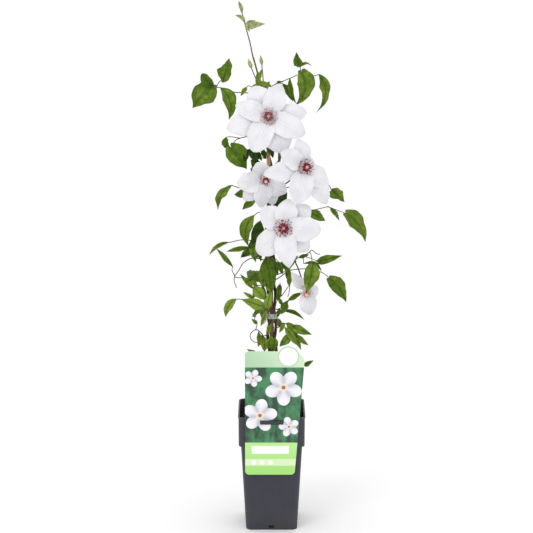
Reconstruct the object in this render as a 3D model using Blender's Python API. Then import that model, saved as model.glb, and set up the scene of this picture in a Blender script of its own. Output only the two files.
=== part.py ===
"""Flowering clematis in a tall square nursery pot, twined up one bamboo cane.

Frame: metres, +Z up, origin in the middle of the pot's underside. The side that
shows the blooms and the plant label looks along -Y, and +X is its right-hand side.
Places along the plant are given in millimetres and turned into metres by mm().
"""

import math
import random

import bmesh
import bpy
from mathutils import Matrix, Vector

MM = 0.001
GAP = 0.0003

# Pot, a square vacuum-formed tub with a collar round its top
POT_HEIGHT = 0.1756
POT_RIM_SIDE = 0.0980
POT_COLLAR_Z = 0.1308
POT_COLLAR_SIDE = 0.0961
POT_BODY_SIDE = 0.0894
POT_FOOT_SIDE = 0.0766
POT_WALL = 0.0015
POT_FLOOR = 0.0020
POT_CORNER = 0.0090
POT_CORNER_STEPS = 3
POT_FOOT_CHAMFER = 0.0016
RIM_BEAD = 0.0008
DRAIN_WIDTH = 0.0080
DRAIN_HEIGHT = 0.0040
DRAIN_Z = 0.0030
DRAIN_HOLE_RADIUS = 0.0040
DRAIN_HOLE_OFFSET = 0.0220
DRAIN_HOLE_SIDES = 8

# Toothed tongue on the front of the rim that holds the label
CLIP_WIDTH = 0.0330
CLIP_TOP_Z = 0.1722
CLIP_DEPTH = 0.0036
CLIP_HEIGHT = 0.0038
CLIP_TEETH = 7
CLIP_TOOTH = 0.0018

# Potting soil
SOIL_TOP = 0.1600
SOIL_RELIEF = 0.0022
SOIL_INNER_SHARE = 0.55
HOLE_ROOM = 0.00035
SOIL_SEED = 11

# Label card in front of the pot
CARD_THICKNESS = 0.0008
CARD_LEFT = -0.0385
CARD_RIGHT_TOP = 0.0480
CARD_RIGHT_FOOT = 0.0338
CARD_TOP = 0.2760
CARD_FOOT = 0.0900
CARD_CORNER = 0.0060
CARD_DISC = (0.0240, 0.2680)
CARD_DISC_RADIUS = 0.0155
CARD_ARC_STEPS = 3

# Bamboo cane
CANE_FOOT = (0.0055, 0.0, 0.0200)
CANE_TOP = (-0.0050, 0.0, 0.5620)
CANE_RADIUS = 0.0031
CANE_JOINTS = 5
CANE_SIDES = 7

# Woody stems that twine round the cane
STEM_SOIL_Z = 0.1250
STEM_PITCH = 0.1300
STEM_STEP = 0.0160
STEM_RADIUS_LOW = 0.0023
STEM_RADIUS_HIGH = 0.0016
STEM_CLEARANCE = 0.0008
STEM_SIDES = 5
STEM_TOPS = (0.5520, 0.4760, 0.4510)
STEM_LEAN = ((-9, 5, 576), (-10, 2, 610), (-14, 0, 645), (-21, 0, 671), (-26, 0, 689))
STEM_RIGHT = ((7, 0, 500), (9, -1, 528), (10, -1, 556), (6, 5, 580), (-2, 8, 612), (-7, 6, 636))
STEM_BACK = ((7, 9, 480), (8, 11, 510), (11, 12, 540), (16, 12, 562))
SEAT_GAP = 0.0006

# Clear plastic bands round the cane and stems: foot, height and inner radius beyond the stems
TIES = {"tie_lower": (0.313, 0.0075, 0.0002), "tie_upper": (0.530, 0.0060, -0.0009)}
TIE_WALL = 0.0007
TIE_SIDES = 10
TIE_TAB = 0.0050
TIE_TAB_THICKNESS = 0.0014

# Blades: leaflets and petals are thin arched solids
LEAF_THICKNESS = 0.0007
LARGE_LEAF = 0.0255
SMALL_LEAF = 0.0135
LEAF_PLACES = (0.0, 0.25, 0.50, 0.75)
SMALL_PLACES = (0.0, 0.33, 0.67)
PETAL_PLACES = (0.0, 0.32, 0.64, 0.87)
TWIG_RADIUS = 0.0009
TWIG_SIDES = 3
LONG_TWIG = 2
LEAD = 0.0030
ROOT_DEPTH = 0.0003
STALK_RADII = (0.0012, 0.0010)
STALK_SIDES = 4
STALK_LEAD = 0.0040
STALK_NECK = (0.008, 0.003)
LEADER_RADII = (0.0011, 0.0008)
BUD_STALK_RADII = (0.0009, 0.0008)
BUD_SIDES = 6
BUD_SUNK = 0.1
STEM_TAIL_TAPER = 2.3

# Faces of a joined body that lie within this many degrees of one plane become one
FLAT_ANGLE = 3.0
SLIVER = 2e-6

# Hub and stamens of a bloom
HUB_RADIUS = 0.0048
HUB_SIDES = 9
HUB_BACK = -0.0019
HUB_FRONT = 0.0016
PETAL_ROOT = 0.0030
PETAL_LAYERS = (-0.0009, 0.0007)
PETAL_SPLAY = (-3.5, 3.5)
CORE_RADIUS = 0.0024
CORE_HEIGHT = 0.0040
CORE_SIDES = 7
STAMEN_ROOT = (0.0012, 0.0016)
STAMEN_RADII = (0.0005, 0.0005, 0.0009)

# Outlines as (width at the base, place of the widest point, sharpness of the tip)
LEAF = (0.08, 0.36, 0.90)
HEART = (0.74, 0.25, 0.95)
NARROW = (0.10, 0.45, 0.86)
PETAL_FOOT = 0.60


def mm(point):
    """A place given in millimetres, as a vector in metres."""
    return Vector(point) * MM


def material(name, colour, roughness):
    """Plain finish of one kind of piece."""
    finish = bpy.data.materials.get(name)
    if finish is None:
        finish = bpy.data.materials.new(name)
        finish.use_nodes = True
        shader = finish.node_tree.nodes["Principled BSDF"]
        shader.inputs["Base Color"].default_value = (*colour, 1.0)
        shader.inputs["Roughness"].default_value = roughness
        shader.inputs["Metallic"].default_value = 0.0
    return finish


POT_FINISH = material("pot_plastic", (0.045, 0.048, 0.060), 0.45)
SOIL_FINISH = material("potting_soil", (0.035, 0.022, 0.014), 0.95)
CARD_FINISH = material("label_card", (0.62, 0.76, 0.50), 0.35)
CANE_FINISH = material("bamboo", (0.56, 0.38, 0.19), 0.55)
BARK_FINISH = material("bark", (0.12, 0.065, 0.040), 0.85)
TIE_FINISH = material("clear_tie", (0.75, 0.78, 0.80), 0.20)
LEAF_FINISH = material("leaf", (0.085, 0.210, 0.035), 0.50)
YOUNG_FINISH = material("young_leaf", (0.280, 0.360, 0.090), 0.50)
PETAL_FINISH = material("petal", (0.860, 0.850, 0.900), 0.55)
STAMEN_FINISH = material("stamen", (0.360, 0.045, 0.110), 0.60)
STALK_FINISH = material("stalk", (0.120, 0.110, 0.060), 0.60)


def clear_scene():
    """Start from an empty scene."""
    for item in list(bpy.data.objects):
        bpy.data.objects.remove(item, do_unlink=True)


def mesh_object(name, points, faces, finish):
    """One named object from points and faces."""
    mesh = bpy.data.meshes.new(name)
    mesh.from_pydata([tuple(point) for point in points], [], faces)
    mesh.materials.append(finish)
    item = bpy.data.objects.new(name, mesh)
    bpy.context.scene.collection.objects.link(item)
    return item


def tube(route, radii, sides):
    """Points and faces of a closed round tube along a route."""
    points = []
    faces = []
    along = (route[1] - route[0]).normalized()
    across = along.orthogonal().normalized()
    for index, centre in enumerate(route):
        before = route[max(index - 1, 0)]
        after = route[min(index + 1, len(route) - 1)]
        along = (after - before).normalized()
        across = (across - along * across.dot(along)).normalized()
        up = along.cross(across)
        for side in range(sides):
            turn = 2 * math.pi * side / sides
            points.append(centre + (across * math.cos(turn) + up * math.sin(turn)) * radii[index])
    for ring in range(len(route) - 1):
        for side in range(sides):
            low = ring * sides + side
            low_next = ring * sides + (side + 1) % sides
            faces.append((low, low_next, low_next + sides, low + sides))
    faces.append(tuple(reversed(range(sides))))
    last = (len(route) - 1) * sides
    faces.append(tuple(range(last, last + sides)))
    return points, faces


def taper(count, start, end):
    """Radii that run evenly from start to end."""
    return [start + (end - start) * index / (count - 1) for index in range(count)]


def smooth_route(corners, steps):
    """Catmull-Rom curve through the corners, with a few steps between each two."""
    padded = [corners[0] * 2 - corners[1], *corners, corners[-1] * 2 - corners[-2]]
    route = []
    for index in range(1, len(padded) - 2):
        a, b, c, d = padded[index - 1:index + 3]
        for step in range(steps):
            t = step / steps
            route.append(0.5 * (2 * b + (c - a) * t + (2 * a - 5 * b + 4 * c - d) * t ** 2
                                + (3 * b - a - 3 * c + d) * t ** 3))
    route.append(corners[-1].copy())
    return route


def outline_width(shape, u):
    """Width of a leaf or petal at u along its rib, where 1 is the widest."""
    base, widest, sharpness = shape
    if u < widest:
        return base + (1 - base) * math.sin(math.pi / 2 * u / widest)
    return max(math.cos(math.pi / 2 * (u - widest) / (1 - widest)), 0.0) ** sharpness


def blade(base, tip, width, face=(0, -1, 0.3), shape=LEAF, arch=0.08, curl=-0.10, fold=18, sway=0.0,
          twist=0.0, wave=0.10, ear=0.0):
    """What one leaflet or petal looks like: places and width in millimetres, angles in degrees.

    arch bows the rib towards its face, curl moves the tip, sway bows the rib sideways, all as
    shares of the length; wave is the ruffle of the margin as a share of the half width, and
    ear draws the corners of the base back past the stalk.
    """
    return {"base": mm(base), "tip": mm(tip), "width": width * MM, "face": Vector(face), "shape": shape,
            "arch": arch, "curl": curl, "fold": math.radians(fold), "sway": sway,
            "twist": math.radians(twist), "wave": wave, "ear": ear}


def blade_point(spec, u, v):
    """Place on a blade's middle surface, u from base to tip and v from margin to margin."""
    span = spec["tip"] - spec["base"]
    length = span.length
    along = span / length
    face = (spec["face"] - along * spec["face"].dot(along)).normalized()
    side = along.cross(face)

    def rib(s):
        hump = 4 * s * (1 - s)
        return (spec["base"] + span * s + face * length * (spec["arch"] * hump + spec["curl"] * s ** 3)
                + side * length * spec["sway"] * hump)

    forward = (rib(min(u + 0.01, 1.0)) - rib(max(u - 0.01, 0.0))).normalized()
    across = (side - forward * side.dot(forward)).normalized()
    turn = Matrix.Rotation(spec["twist"] * (u - 0.3), 3, forward)
    across = turn @ across
    normal = across.cross(forward)
    half = spec["width"] / 2 * outline_width(spec["shape"], u)
    reach = abs(v) * half
    ruffle = spec["wave"] * half * v * v * math.sin(9.0 * u + 2.2 * v + 40 * length)
    back = spec["ear"] * length * v * v * (1 - u) ** 3
    return (rib(u) + across * v * half * math.cos(spec["fold"]) - forward * back
            + normal * (reach * math.sin(spec["fold"]) + ruffle))


def blade_solid(spec, thickness, places, columns):
    """Points and faces of a thin closed blade, split into triangles alike on both faces."""
    rows = len(places)
    grid = [[blade_point(spec, u, 2 * column / columns - 1) for column in range(columns + 1)]
            for u in places]
    tip = blade_point(spec, 1.0, 0.0)
    points = []
    for side in (0.5, -0.5):
        for row in range(rows):
            for column in range(columns + 1):
                left = grid[row][max(column - 1, 0)]
                right = grid[row][min(column + 1, columns)]
                below = grid[max(row - 1, 0)][column]
                above = grid[row + 1][column] if row + 1 < rows else tip
                normal = (right - left).cross(above - below).normalized()
                points.append(grid[row][column] + normal * thickness * side)
        forward = (tip - grid[-1][columns // 2]).normalized()
        across = (grid[-1][columns] - grid[-1][0]).normalized()
        points.append(tip + across.cross(forward).normalized() * thickness * side)
    wide = columns + 1
    lower = rows * wide + 1
    top_tip = rows * wide
    faces = []
    for row in range(rows - 1):
        for column in range(columns):
            a = row * wide + column
            b, c, d = a + 1, a + 1 + wide, a + wide
            faces += [(a, b, c), (a, c, d)]
            faces += [(a + lower, c + lower, b + lower), (a + lower, d + lower, c + lower)]
    for column in range(columns):
        a = (rows - 1) * wide + column
        faces += [(a, a + 1, top_tip), (a + lower, top_tip + lower, a + 1 + lower)]
    rim = list(range(wide))
    rim += [row * wide + columns for row in range(1, rows)]
    rim += [top_tip]
    rim += [row * wide for row in range(rows - 1, 0, -1)]
    for index, a in enumerate(rim):
        b = rim[(index + 1) % len(rim)]
        faces += [(a, a + lower, b + lower), (a, b + lower, b)]
    return points, faces


def leaf_solid(spec):
    """A leaflet, with more faces where it is wide and ruffled."""
    places = LEAF_PLACES if spec["width"] > SMALL_LEAF else SMALL_PLACES
    return blade_solid(spec, LEAF_THICKNESS, places, 4 if spec["width"] > LARGE_LEAF else 2)


def keep_largest_shell(mesh):
    """Drop loose scraps and fill pockets that the union sealed."""
    shape = bmesh.new()
    shape.from_mesh(mesh)
    waiting = set(shape.faces)
    shells = []
    while waiting:
        shell = {waiting.pop()}
        edge_of_growth = list(shell)
        while edge_of_growth:
            face = edge_of_growth.pop()
            for edge in face.edges:
                for neighbour in edge.link_faces:
                    if neighbour in waiting:
                        waiting.discard(neighbour)
                        shell.add(neighbour)
                        edge_of_growth.append(neighbour)
        shells.append(shell)
    shells.sort(key=lambda shell: sum(face.calc_area() for face in shell), reverse=True)
    for scrap in shells[1:]:
        bmesh.ops.delete(shape, geom=list(scrap), context="FACES")
    bmesh.ops.dissolve_degenerate(shape, dist=SLIVER, edges=shape.edges[:])
    bmesh.ops.triangulate(shape, faces=shape.faces[:])
    shape.to_mesh(mesh)
    shape.free()


def flattened(mesh):
    """Copy of a mesh whose nearly flat runs of faces are merged."""
    flat = mesh.copy()
    shape = bmesh.new()
    shape.from_mesh(flat)
    bmesh.ops.dissolve_limit(shape, angle_limit=math.radians(FLAT_ANGLE), verts=shape.verts[:],
                             edges=shape.edges[:])
    bmesh.ops.dissolve_degenerate(shape, dist=SLIVER, edges=shape.edges[:])
    bmesh.ops.triangulate(shape, faces=shape.faces[:])
    shape.to_mesh(flat)
    shape.free()
    return flat


def is_closed(mesh):
    """Whether every edge has exactly two faces."""
    shape = bmesh.new()
    shape.from_mesh(mesh)
    closed = all(len(edge.link_faces) == 2 for edge in shape.edges)
    shape.free()
    return closed


def apply_union(item, pieces):
    """Join pieces to an object with one Boolean on a collection, then remove them."""
    group = bpy.data.collections.new(item.name + "_pieces")
    bpy.context.scene.collection.children.link(group)
    finish = item.data.materials[0]
    for index, (points, faces) in enumerate(pieces):
        piece = mesh_object(f"{item.name}_{index}", points, faces, finish)
        bpy.context.scene.collection.objects.unlink(piece)
        group.objects.link(piece)
    union = item.modifiers.new("Union", "BOOLEAN")
    union.operation = "UNION"
    union.operand_type = "COLLECTION"
    union.collection = group
    for solver in ("EXACT", "MANIFOLD"):
        union.solver = solver
        graph = bpy.context.evaluated_depsgraph_get()
        joined = bpy.data.meshes.new_from_object(item.evaluated_get(graph))
        keep_largest_shell(joined)
        flat = flattened(joined)
        if is_closed(flat):
            joined = flat
        if is_closed(joined):
            break
    item.modifiers.remove(union)
    item.data = joined
    joined.name = item.name
    for piece in list(group.objects):
        bpy.data.objects.remove(piece, do_unlink=True)
    bpy.data.collections.remove(group)


def fuse(name, pieces, finish):
    """One closed body from pieces that overlap."""
    item = mesh_object(name, *pieces[0], finish)
    if len(pieces) > 1:
        apply_union(item, pieces[1:])
    return item


def subtract(item, points, faces):
    """Cut one closed shape out of an object."""
    cutter = mesh_object(item.name + "_cutter", points, faces, item.data.materials[0])
    cut = item.modifiers.new("Cut", "BOOLEAN")
    cut.operation = "DIFFERENCE"
    cut.object = cutter
    for solver in ("EXACT", "MANIFOLD"):
        cut.solver = solver
        graph = bpy.context.evaluated_depsgraph_get()
        carved = bpy.data.meshes.new_from_object(item.evaluated_get(graph))
        if is_closed(carved):
            break
    item.modifiers.remove(cut)
    item.data = carved
    carved.name = item.name
    bpy.data.objects.remove(cutter, do_unlink=True)


def block(low, high):
    """Points and faces of a box between two corners."""
    corners = [Vector((x, y, z)) for z in (low[2], high[2]) for y in (low[1], high[1])
               for x in (low[0], high[0])]
    faces = [(0, 2, 3, 1), (4, 5, 7, 6), (0, 1, 5, 4), (2, 6, 7, 3), (0, 4, 6, 2), (1, 3, 7, 5)]
    return corners, faces


def square_ring(side, corner, z):
    """Rounded square, anticlockwise from the right-hand side."""
    ring = []
    inner = side / 2 - corner
    for quarter in range(4):
        middle = math.pi / 4 + quarter * math.pi / 2
        centre = Vector((math.copysign(inner, math.cos(middle)), math.copysign(inner, math.sin(middle)), z))
        for step in range(POT_CORNER_STEPS + 1):
            turn = quarter * math.pi / 2 + math.pi / 2 * step / POT_CORNER_STEPS
            ring.append(centre + Vector((math.cos(turn), math.sin(turn), 0)) * corner)
    return ring


def loft(rings):
    """Points and faces of a closed solid through a stack of rings of equal count."""
    count = len(rings[0])
    points = [point for ring in rings for point in ring]
    faces = []
    for level in range(len(rings) - 1):
        for index in range(count):
            low = level * count + index
            low_next = level * count + (index + 1) % count
            faces.append((low, low_next, low_next + count, low + count))
    faces.append(tuple(reversed(range(count))))
    last = (len(rings) - 1) * count
    faces.append(tuple(range(last, last + count)))
    return points, faces


def body_side(z):
    """Outer width of the pot's body at a height."""
    return POT_FOOT_SIDE + (POT_BODY_SIDE - POT_FOOT_SIDE) * z / POT_COLLAR_Z


def make_pot():
    """Thin-walled square tub with collar, rim bead, drain slots and the label's toothed tongue."""
    inset = 2 * POT_WALL
    inner_corner = POT_CORNER - POT_WALL
    step_z = POT_COLLAR_Z + POT_WALL
    rings = [
        square_ring(POT_FOOT_SIDE - 2 * POT_FOOT_CHAMFER, POT_CORNER - POT_FOOT_CHAMFER, 0.0),
        square_ring(body_side(POT_FOOT_CHAMFER), POT_CORNER, POT_FOOT_CHAMFER),
        square_ring(POT_BODY_SIDE, POT_CORNER, POT_COLLAR_Z),
        square_ring(POT_COLLAR_SIDE, POT_CORNER, POT_COLLAR_Z),
        square_ring(POT_RIM_SIDE - 2 * RIM_BEAD, POT_CORNER, POT_HEIGHT - 3 * RIM_BEAD),
        square_ring(POT_RIM_SIDE, POT_CORNER, POT_HEIGHT - 2 * RIM_BEAD),
        square_ring(POT_RIM_SIDE, POT_CORNER, POT_HEIGHT - RIM_BEAD / 2),
        square_ring(POT_RIM_SIDE - RIM_BEAD, POT_CORNER, POT_HEIGHT),
        square_ring(POT_RIM_SIDE - inset - 2 * RIM_BEAD, inner_corner, POT_HEIGHT),
        square_ring(POT_COLLAR_SIDE - inset, inner_corner, step_z),
        square_ring(POT_BODY_SIDE - inset, inner_corner, step_z),
        square_ring(body_side(POT_FLOOR) - inset, inner_corner, POT_FLOOR),
    ]
    pot = mesh_object("pot", *loft(rings), POT_FINISH)
    foot = POT_FOOT_SIDE / 2
    for x, y in ((0, 1), (0, -1), (1, 0), (-1, 0)):
        centre = Vector((x, y, 0)) * foot
        half = Vector((abs(y), abs(x), 0)) * DRAIN_WIDTH / 2 + Vector((abs(x), abs(y), 0)) * 4 * POT_WALL
        low = centre - half + Vector((0, 0, DRAIN_Z))
        high = centre + half + Vector((0, 0, DRAIN_Z + DRAIN_HEIGHT))
        subtract(pot, *block(low, high))
    for x in (-DRAIN_HOLE_OFFSET, DRAIN_HOLE_OFFSET):
        for y in (-DRAIN_HOLE_OFFSET, DRAIN_HOLE_OFFSET):
            drill = [Vector((x, y, -POT_FLOOR)), Vector((x, y, 2 * POT_FLOOR))]
            subtract(pot, *tube(drill, [DRAIN_HOLE_RADIUS] * 2, DRAIN_HOLE_SIDES))
    front = -POT_RIM_SIDE / 2
    edge = [(CLIP_WIDTH / 2, CLIP_TOP_Z), (-CLIP_WIDTH / 2, CLIP_TOP_Z)]
    for tooth in range(2 * CLIP_TEETH + 1):
        x = CLIP_WIDTH * (tooth / (2 * CLIP_TEETH) - 0.5)
        edge.append((x, CLIP_TOP_Z - CLIP_HEIGHT - (CLIP_TOOTH if tooth % 2 else 0.0)))
    tongue = [[Vector((x, y, z)) for x, z in edge] for y in (front + POT_WALL, front - CLIP_DEPTH)]
    apply_union(pot, [loft(tongue)])
    return pot


def make_soil(stem_routes):
    """Block of potting soil with an uneven top and a hole for the cane and each stem."""
    inset = 2 * (POT_WALL + GAP)
    corner = POT_CORNER - POT_WALL
    step_z = POT_COLLAR_Z + POT_WALL + GAP
    collar = POT_COLLAR_SIDE - inset
    rings = [
        square_ring(body_side(POT_FLOOR + GAP) - inset, corner, POT_FLOOR + GAP),
        square_ring(POT_BODY_SIDE - inset, corner, step_z),
        square_ring(collar, corner, step_z),
        square_ring(collar, corner, SOIL_TOP - 2 * SOIL_RELIEF),
    ]
    points, faces = loft(rings)
    top_ring = list(faces.pop())
    soil = mesh_object("soil", points, faces, SOIL_FINISH)
    shape = bmesh.new()
    shape.from_mesh(soil.data)
    shape.verts.ensure_lookup_table()
    rim = [shape.verts[index] for index in top_ring]
    draw = random.Random(SOIL_SEED)
    centre_z = SOIL_TOP - SOIL_RELIEF
    inner = []
    for vertex in rim:
        height = centre_z + draw.uniform(-SOIL_RELIEF, SOIL_RELIEF)
        spot = vertex.co * SOIL_INNER_SHARE
        inner.append(shape.verts.new((spot.x, spot.y, height)))
    middle = shape.verts.new((0, 0, centre_z))
    for index in range(len(rim)):
        after = (index + 1) % len(rim)
        shape.faces.new((rim[index], rim[after], inner[after], inner[index]))
        shape.faces.new((inner[index], inner[after], middle))
    bmesh.ops.triangulate(shape, faces=shape.faces[:])
    shape.to_mesh(soil.data)
    shape.free()
    for route, radius, sides in stem_routes:
        above = next(index for index, point in enumerate(route) if point.z > SOIL_TOP + SOIL_RELIEF)
        buried = route[:above + 1]
        buried[0] = buried[0] - Vector((0, 0, GAP))
        subtract(soil, *tube(buried, [radius + HOLE_ROOM] * len(buried), sides))
    return soil


def card_outline():
    """Edge of the label card with round corners and a disc that stands above its top."""
    slope = (CARD_RIGHT_TOP - CARD_RIGHT_FOOT) / (CARD_TOP - CARD_FOOT)
    edge = []

    def arc(x, z, radius, start, end, steps):
        for step in range(steps + 1):
            turn = math.radians(start + (end - start) * step / steps)
            edge.append((x + radius * math.cos(turn), z + radius * math.sin(turn)))

    foot = CARD_FOOT + CARD_CORNER
    top = CARD_TOP - CARD_CORNER
    arc(CARD_LEFT + CARD_CORNER, foot, CARD_CORNER, 180, 270, CARD_ARC_STEPS)
    arc(CARD_RIGHT_FOOT - CARD_CORNER, foot, CARD_CORNER, 270, 355, CARD_ARC_STEPS)
    disc_x, disc_z = CARD_DISC
    meet = CARD_RIGHT_FOOT + slope * (disc_z - 0.010 - CARD_FOOT)
    edge.append((meet, disc_z - 0.014))
    edge.append((meet, disc_z - 0.004))
    arc(disc_x, disc_z, CARD_DISC_RADIUS, 20, 150, 4 * CARD_ARC_STEPS)
    arc(CARD_LEFT + CARD_CORNER, top, CARD_CORNER, 90, 180, CARD_ARC_STEPS)
    return edge


def make_label():
    """Plastic plant label, slit for the pot's tongue."""
    back = -POT_RIM_SIDE / 2 - GAP
    front = back - CARD_THICKNESS
    edge = card_outline()
    sheets = [[Vector((x, y, z)) for x, z in edge] for y in (front, back)]
    label = mesh_object("label", *loft(sheets), CARD_FINISH)
    slit_low = CLIP_TOP_Z - CLIP_HEIGHT - CLIP_TOOTH - GAP
    low = Vector((-CLIP_WIDTH / 2 - GAP, front - GAP, slit_low))
    high = Vector((CLIP_WIDTH / 2 + GAP, back + GAP, CLIP_TOP_Z + GAP))
    subtract(label, *block(low, high))
    return label


def cane_centre(z):
    """Middle of the leaning cane at a height."""
    foot = Vector(CANE_FOOT)
    top = Vector(CANE_TOP)
    return foot.lerp(top, (z - foot.z) / (top.z - foot.z))


def make_cane():
    """Bamboo cane with a swollen joint every few centimetres."""
    route = [Vector(CANE_FOOT)]
    radii = [CANE_RADIUS]
    foot_z = CANE_FOOT[2]
    spacing = (CANE_TOP[2] - foot_z) / CANE_JOINTS
    for joint in range(CANE_JOINTS):
        for share, swell in ((0.38, 1.0), (0.42, 1.10), (0.46, 1.0)):
            z = foot_z + spacing * (joint + share)
            route.append(cane_centre(z))
            radii.append(CANE_RADIUS * swell * (1 - 0.012 * joint))
    route.append(Vector(CANE_TOP))
    radii.append(CANE_RADIUS * 0.9)
    mesh_object("cane", *tube(route, radii, CANE_SIDES), CANE_FINISH)
    return route


def stem_radius(z):
    """Thickness of a twining stem at a height."""
    share = min(max((z - STEM_SOIL_Z) / (STEM_TOPS[0] - STEM_SOIL_Z), 0.0), 1.0)
    return STEM_RADIUS_LOW + (STEM_RADIUS_HIGH - STEM_RADIUS_LOW) * share


def stem_centre(number, z):
    """Middle of a twining stem at a height."""
    turn = 2 * math.pi * (z / STEM_PITCH + number / 3)
    reach = CANE_RADIUS * 1.1 + stem_radius(z) + STEM_CLEARANCE
    return cane_centre(z) + Vector((math.cos(turn), math.sin(turn), 0)) * reach


def make_stems():
    """Three woody stems that climb round the cane as one rope, then part."""
    tails = (STEM_LEAN, STEM_RIGHT, STEM_BACK)
    routes = []
    for number, tail in enumerate(tails):
        climb = STEM_TOPS[number]
        steps = round((climb - STEM_SOIL_Z) / STEM_STEP)
        spacing = (climb - STEM_SOIL_Z) / steps
        route = [stem_centre(number, STEM_SOIL_Z + spacing * step) for step in range(steps + 1)]
        end = smooth_route([route[-1], *[mm(point) for point in tail]], 2)
        route += end[1:]
        radii = [stem_radius(point.z) for point in route]
        for index, point in enumerate(route):
            if point.z > climb:
                radii[index] *= 1 - STEM_TAIL_TAPER * (point.z - climb)
        mesh_object(f"stem_{number + 1}", *tube(route, radii, STEM_SIDES), BARK_FINISH)
        routes.append((route, radii))
    return routes


def seat(stems, number, z, towards):
    """Place beside a stem where a twig that runs towards a point is seated."""
    route, radii = stems[number]
    nearest = min(range(len(route)), key=lambda index: abs(route[index].z - z))
    low = min(nearest, len(route) - 2)
    if route[low].z > z and low > 0:
        low -= 1
    share = (z - route[low].z) / (route[low + 1].z - route[low].z)
    share = min(max(share, 0.0), 1.0)
    centre = route[low].lerp(route[low + 1], share)
    along = (route[low + 1] - route[low]).normalized()
    heading = towards - centre
    heading = (heading - along * heading.dot(along)).normalized()
    return centre + heading * (max(radii[low], radii[low + 1]) + SEAT_GAP), heading


def best_stem(stems, z, towards):
    """The stem that passes nearest to a point at a height."""
    def distance(number):
        route = stems[number][0]
        if route[-1].z < z:
            return 1.0
        return min((point - towards).length for point in route if abs(point.z - z) < 0.012)
    return min(range(len(stems)), key=distance)


def closest_on(routes, place):
    """The nearest place on the middle lines of some shoots."""
    nearest = routes[0][0]
    for route in routes:
        for low, high in zip(route, route[1:]):
            share = min(max((place - low).dot(high - low) / (high - low).length_squared, 0.0), 1.0)
            spot = low.lerp(high, share)
            if (spot - place).length < (nearest - place).length:
                nearest = spot
    return nearest


def rooted(spec, routes):
    """The same blade with its base sunk into the shoot that carries it."""
    spot = closest_on(routes, spec["base"])
    return {**spec, "base": spot - (spec["tip"] - spot).normalized() * ROOT_DEPTH}


def make_spray(name, stems):
    """Leaf stalk with its side stalks and leaflets, seated on the nearest stem."""
    height, twigs, leaves = SPRAYS[name]
    first = [mm(point) for point in twigs[0]]
    number = best_stem(stems, height * MM, first[0])
    root, heading = seat(stems, number, height * MM, first[0])
    steps = 1 if len(first) > LONG_TWIG else 2
    routes = [smooth_route([root, root + heading * LEAD, *first], steps)]
    pieces = [tube(routes[0], taper(len(routes[0]), TWIG_RADIUS, TWIG_RADIUS * 0.7), TWIG_SIDES)]
    for corners in twigs[1:]:
        route = [mm(point) for point in corners]
        route[0] = closest_on(routes, route[0])
        routes.append(route)
        pieces.append(tube(route, taper(len(route), TWIG_RADIUS * 0.8, TWIG_RADIUS * 0.6), TWIG_SIDES))
    for spec in leaves:
        pieces.append(leaf_solid(rooted(spec, routes)))
    fuse(name, pieces, LEAF_FINISH)


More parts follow.
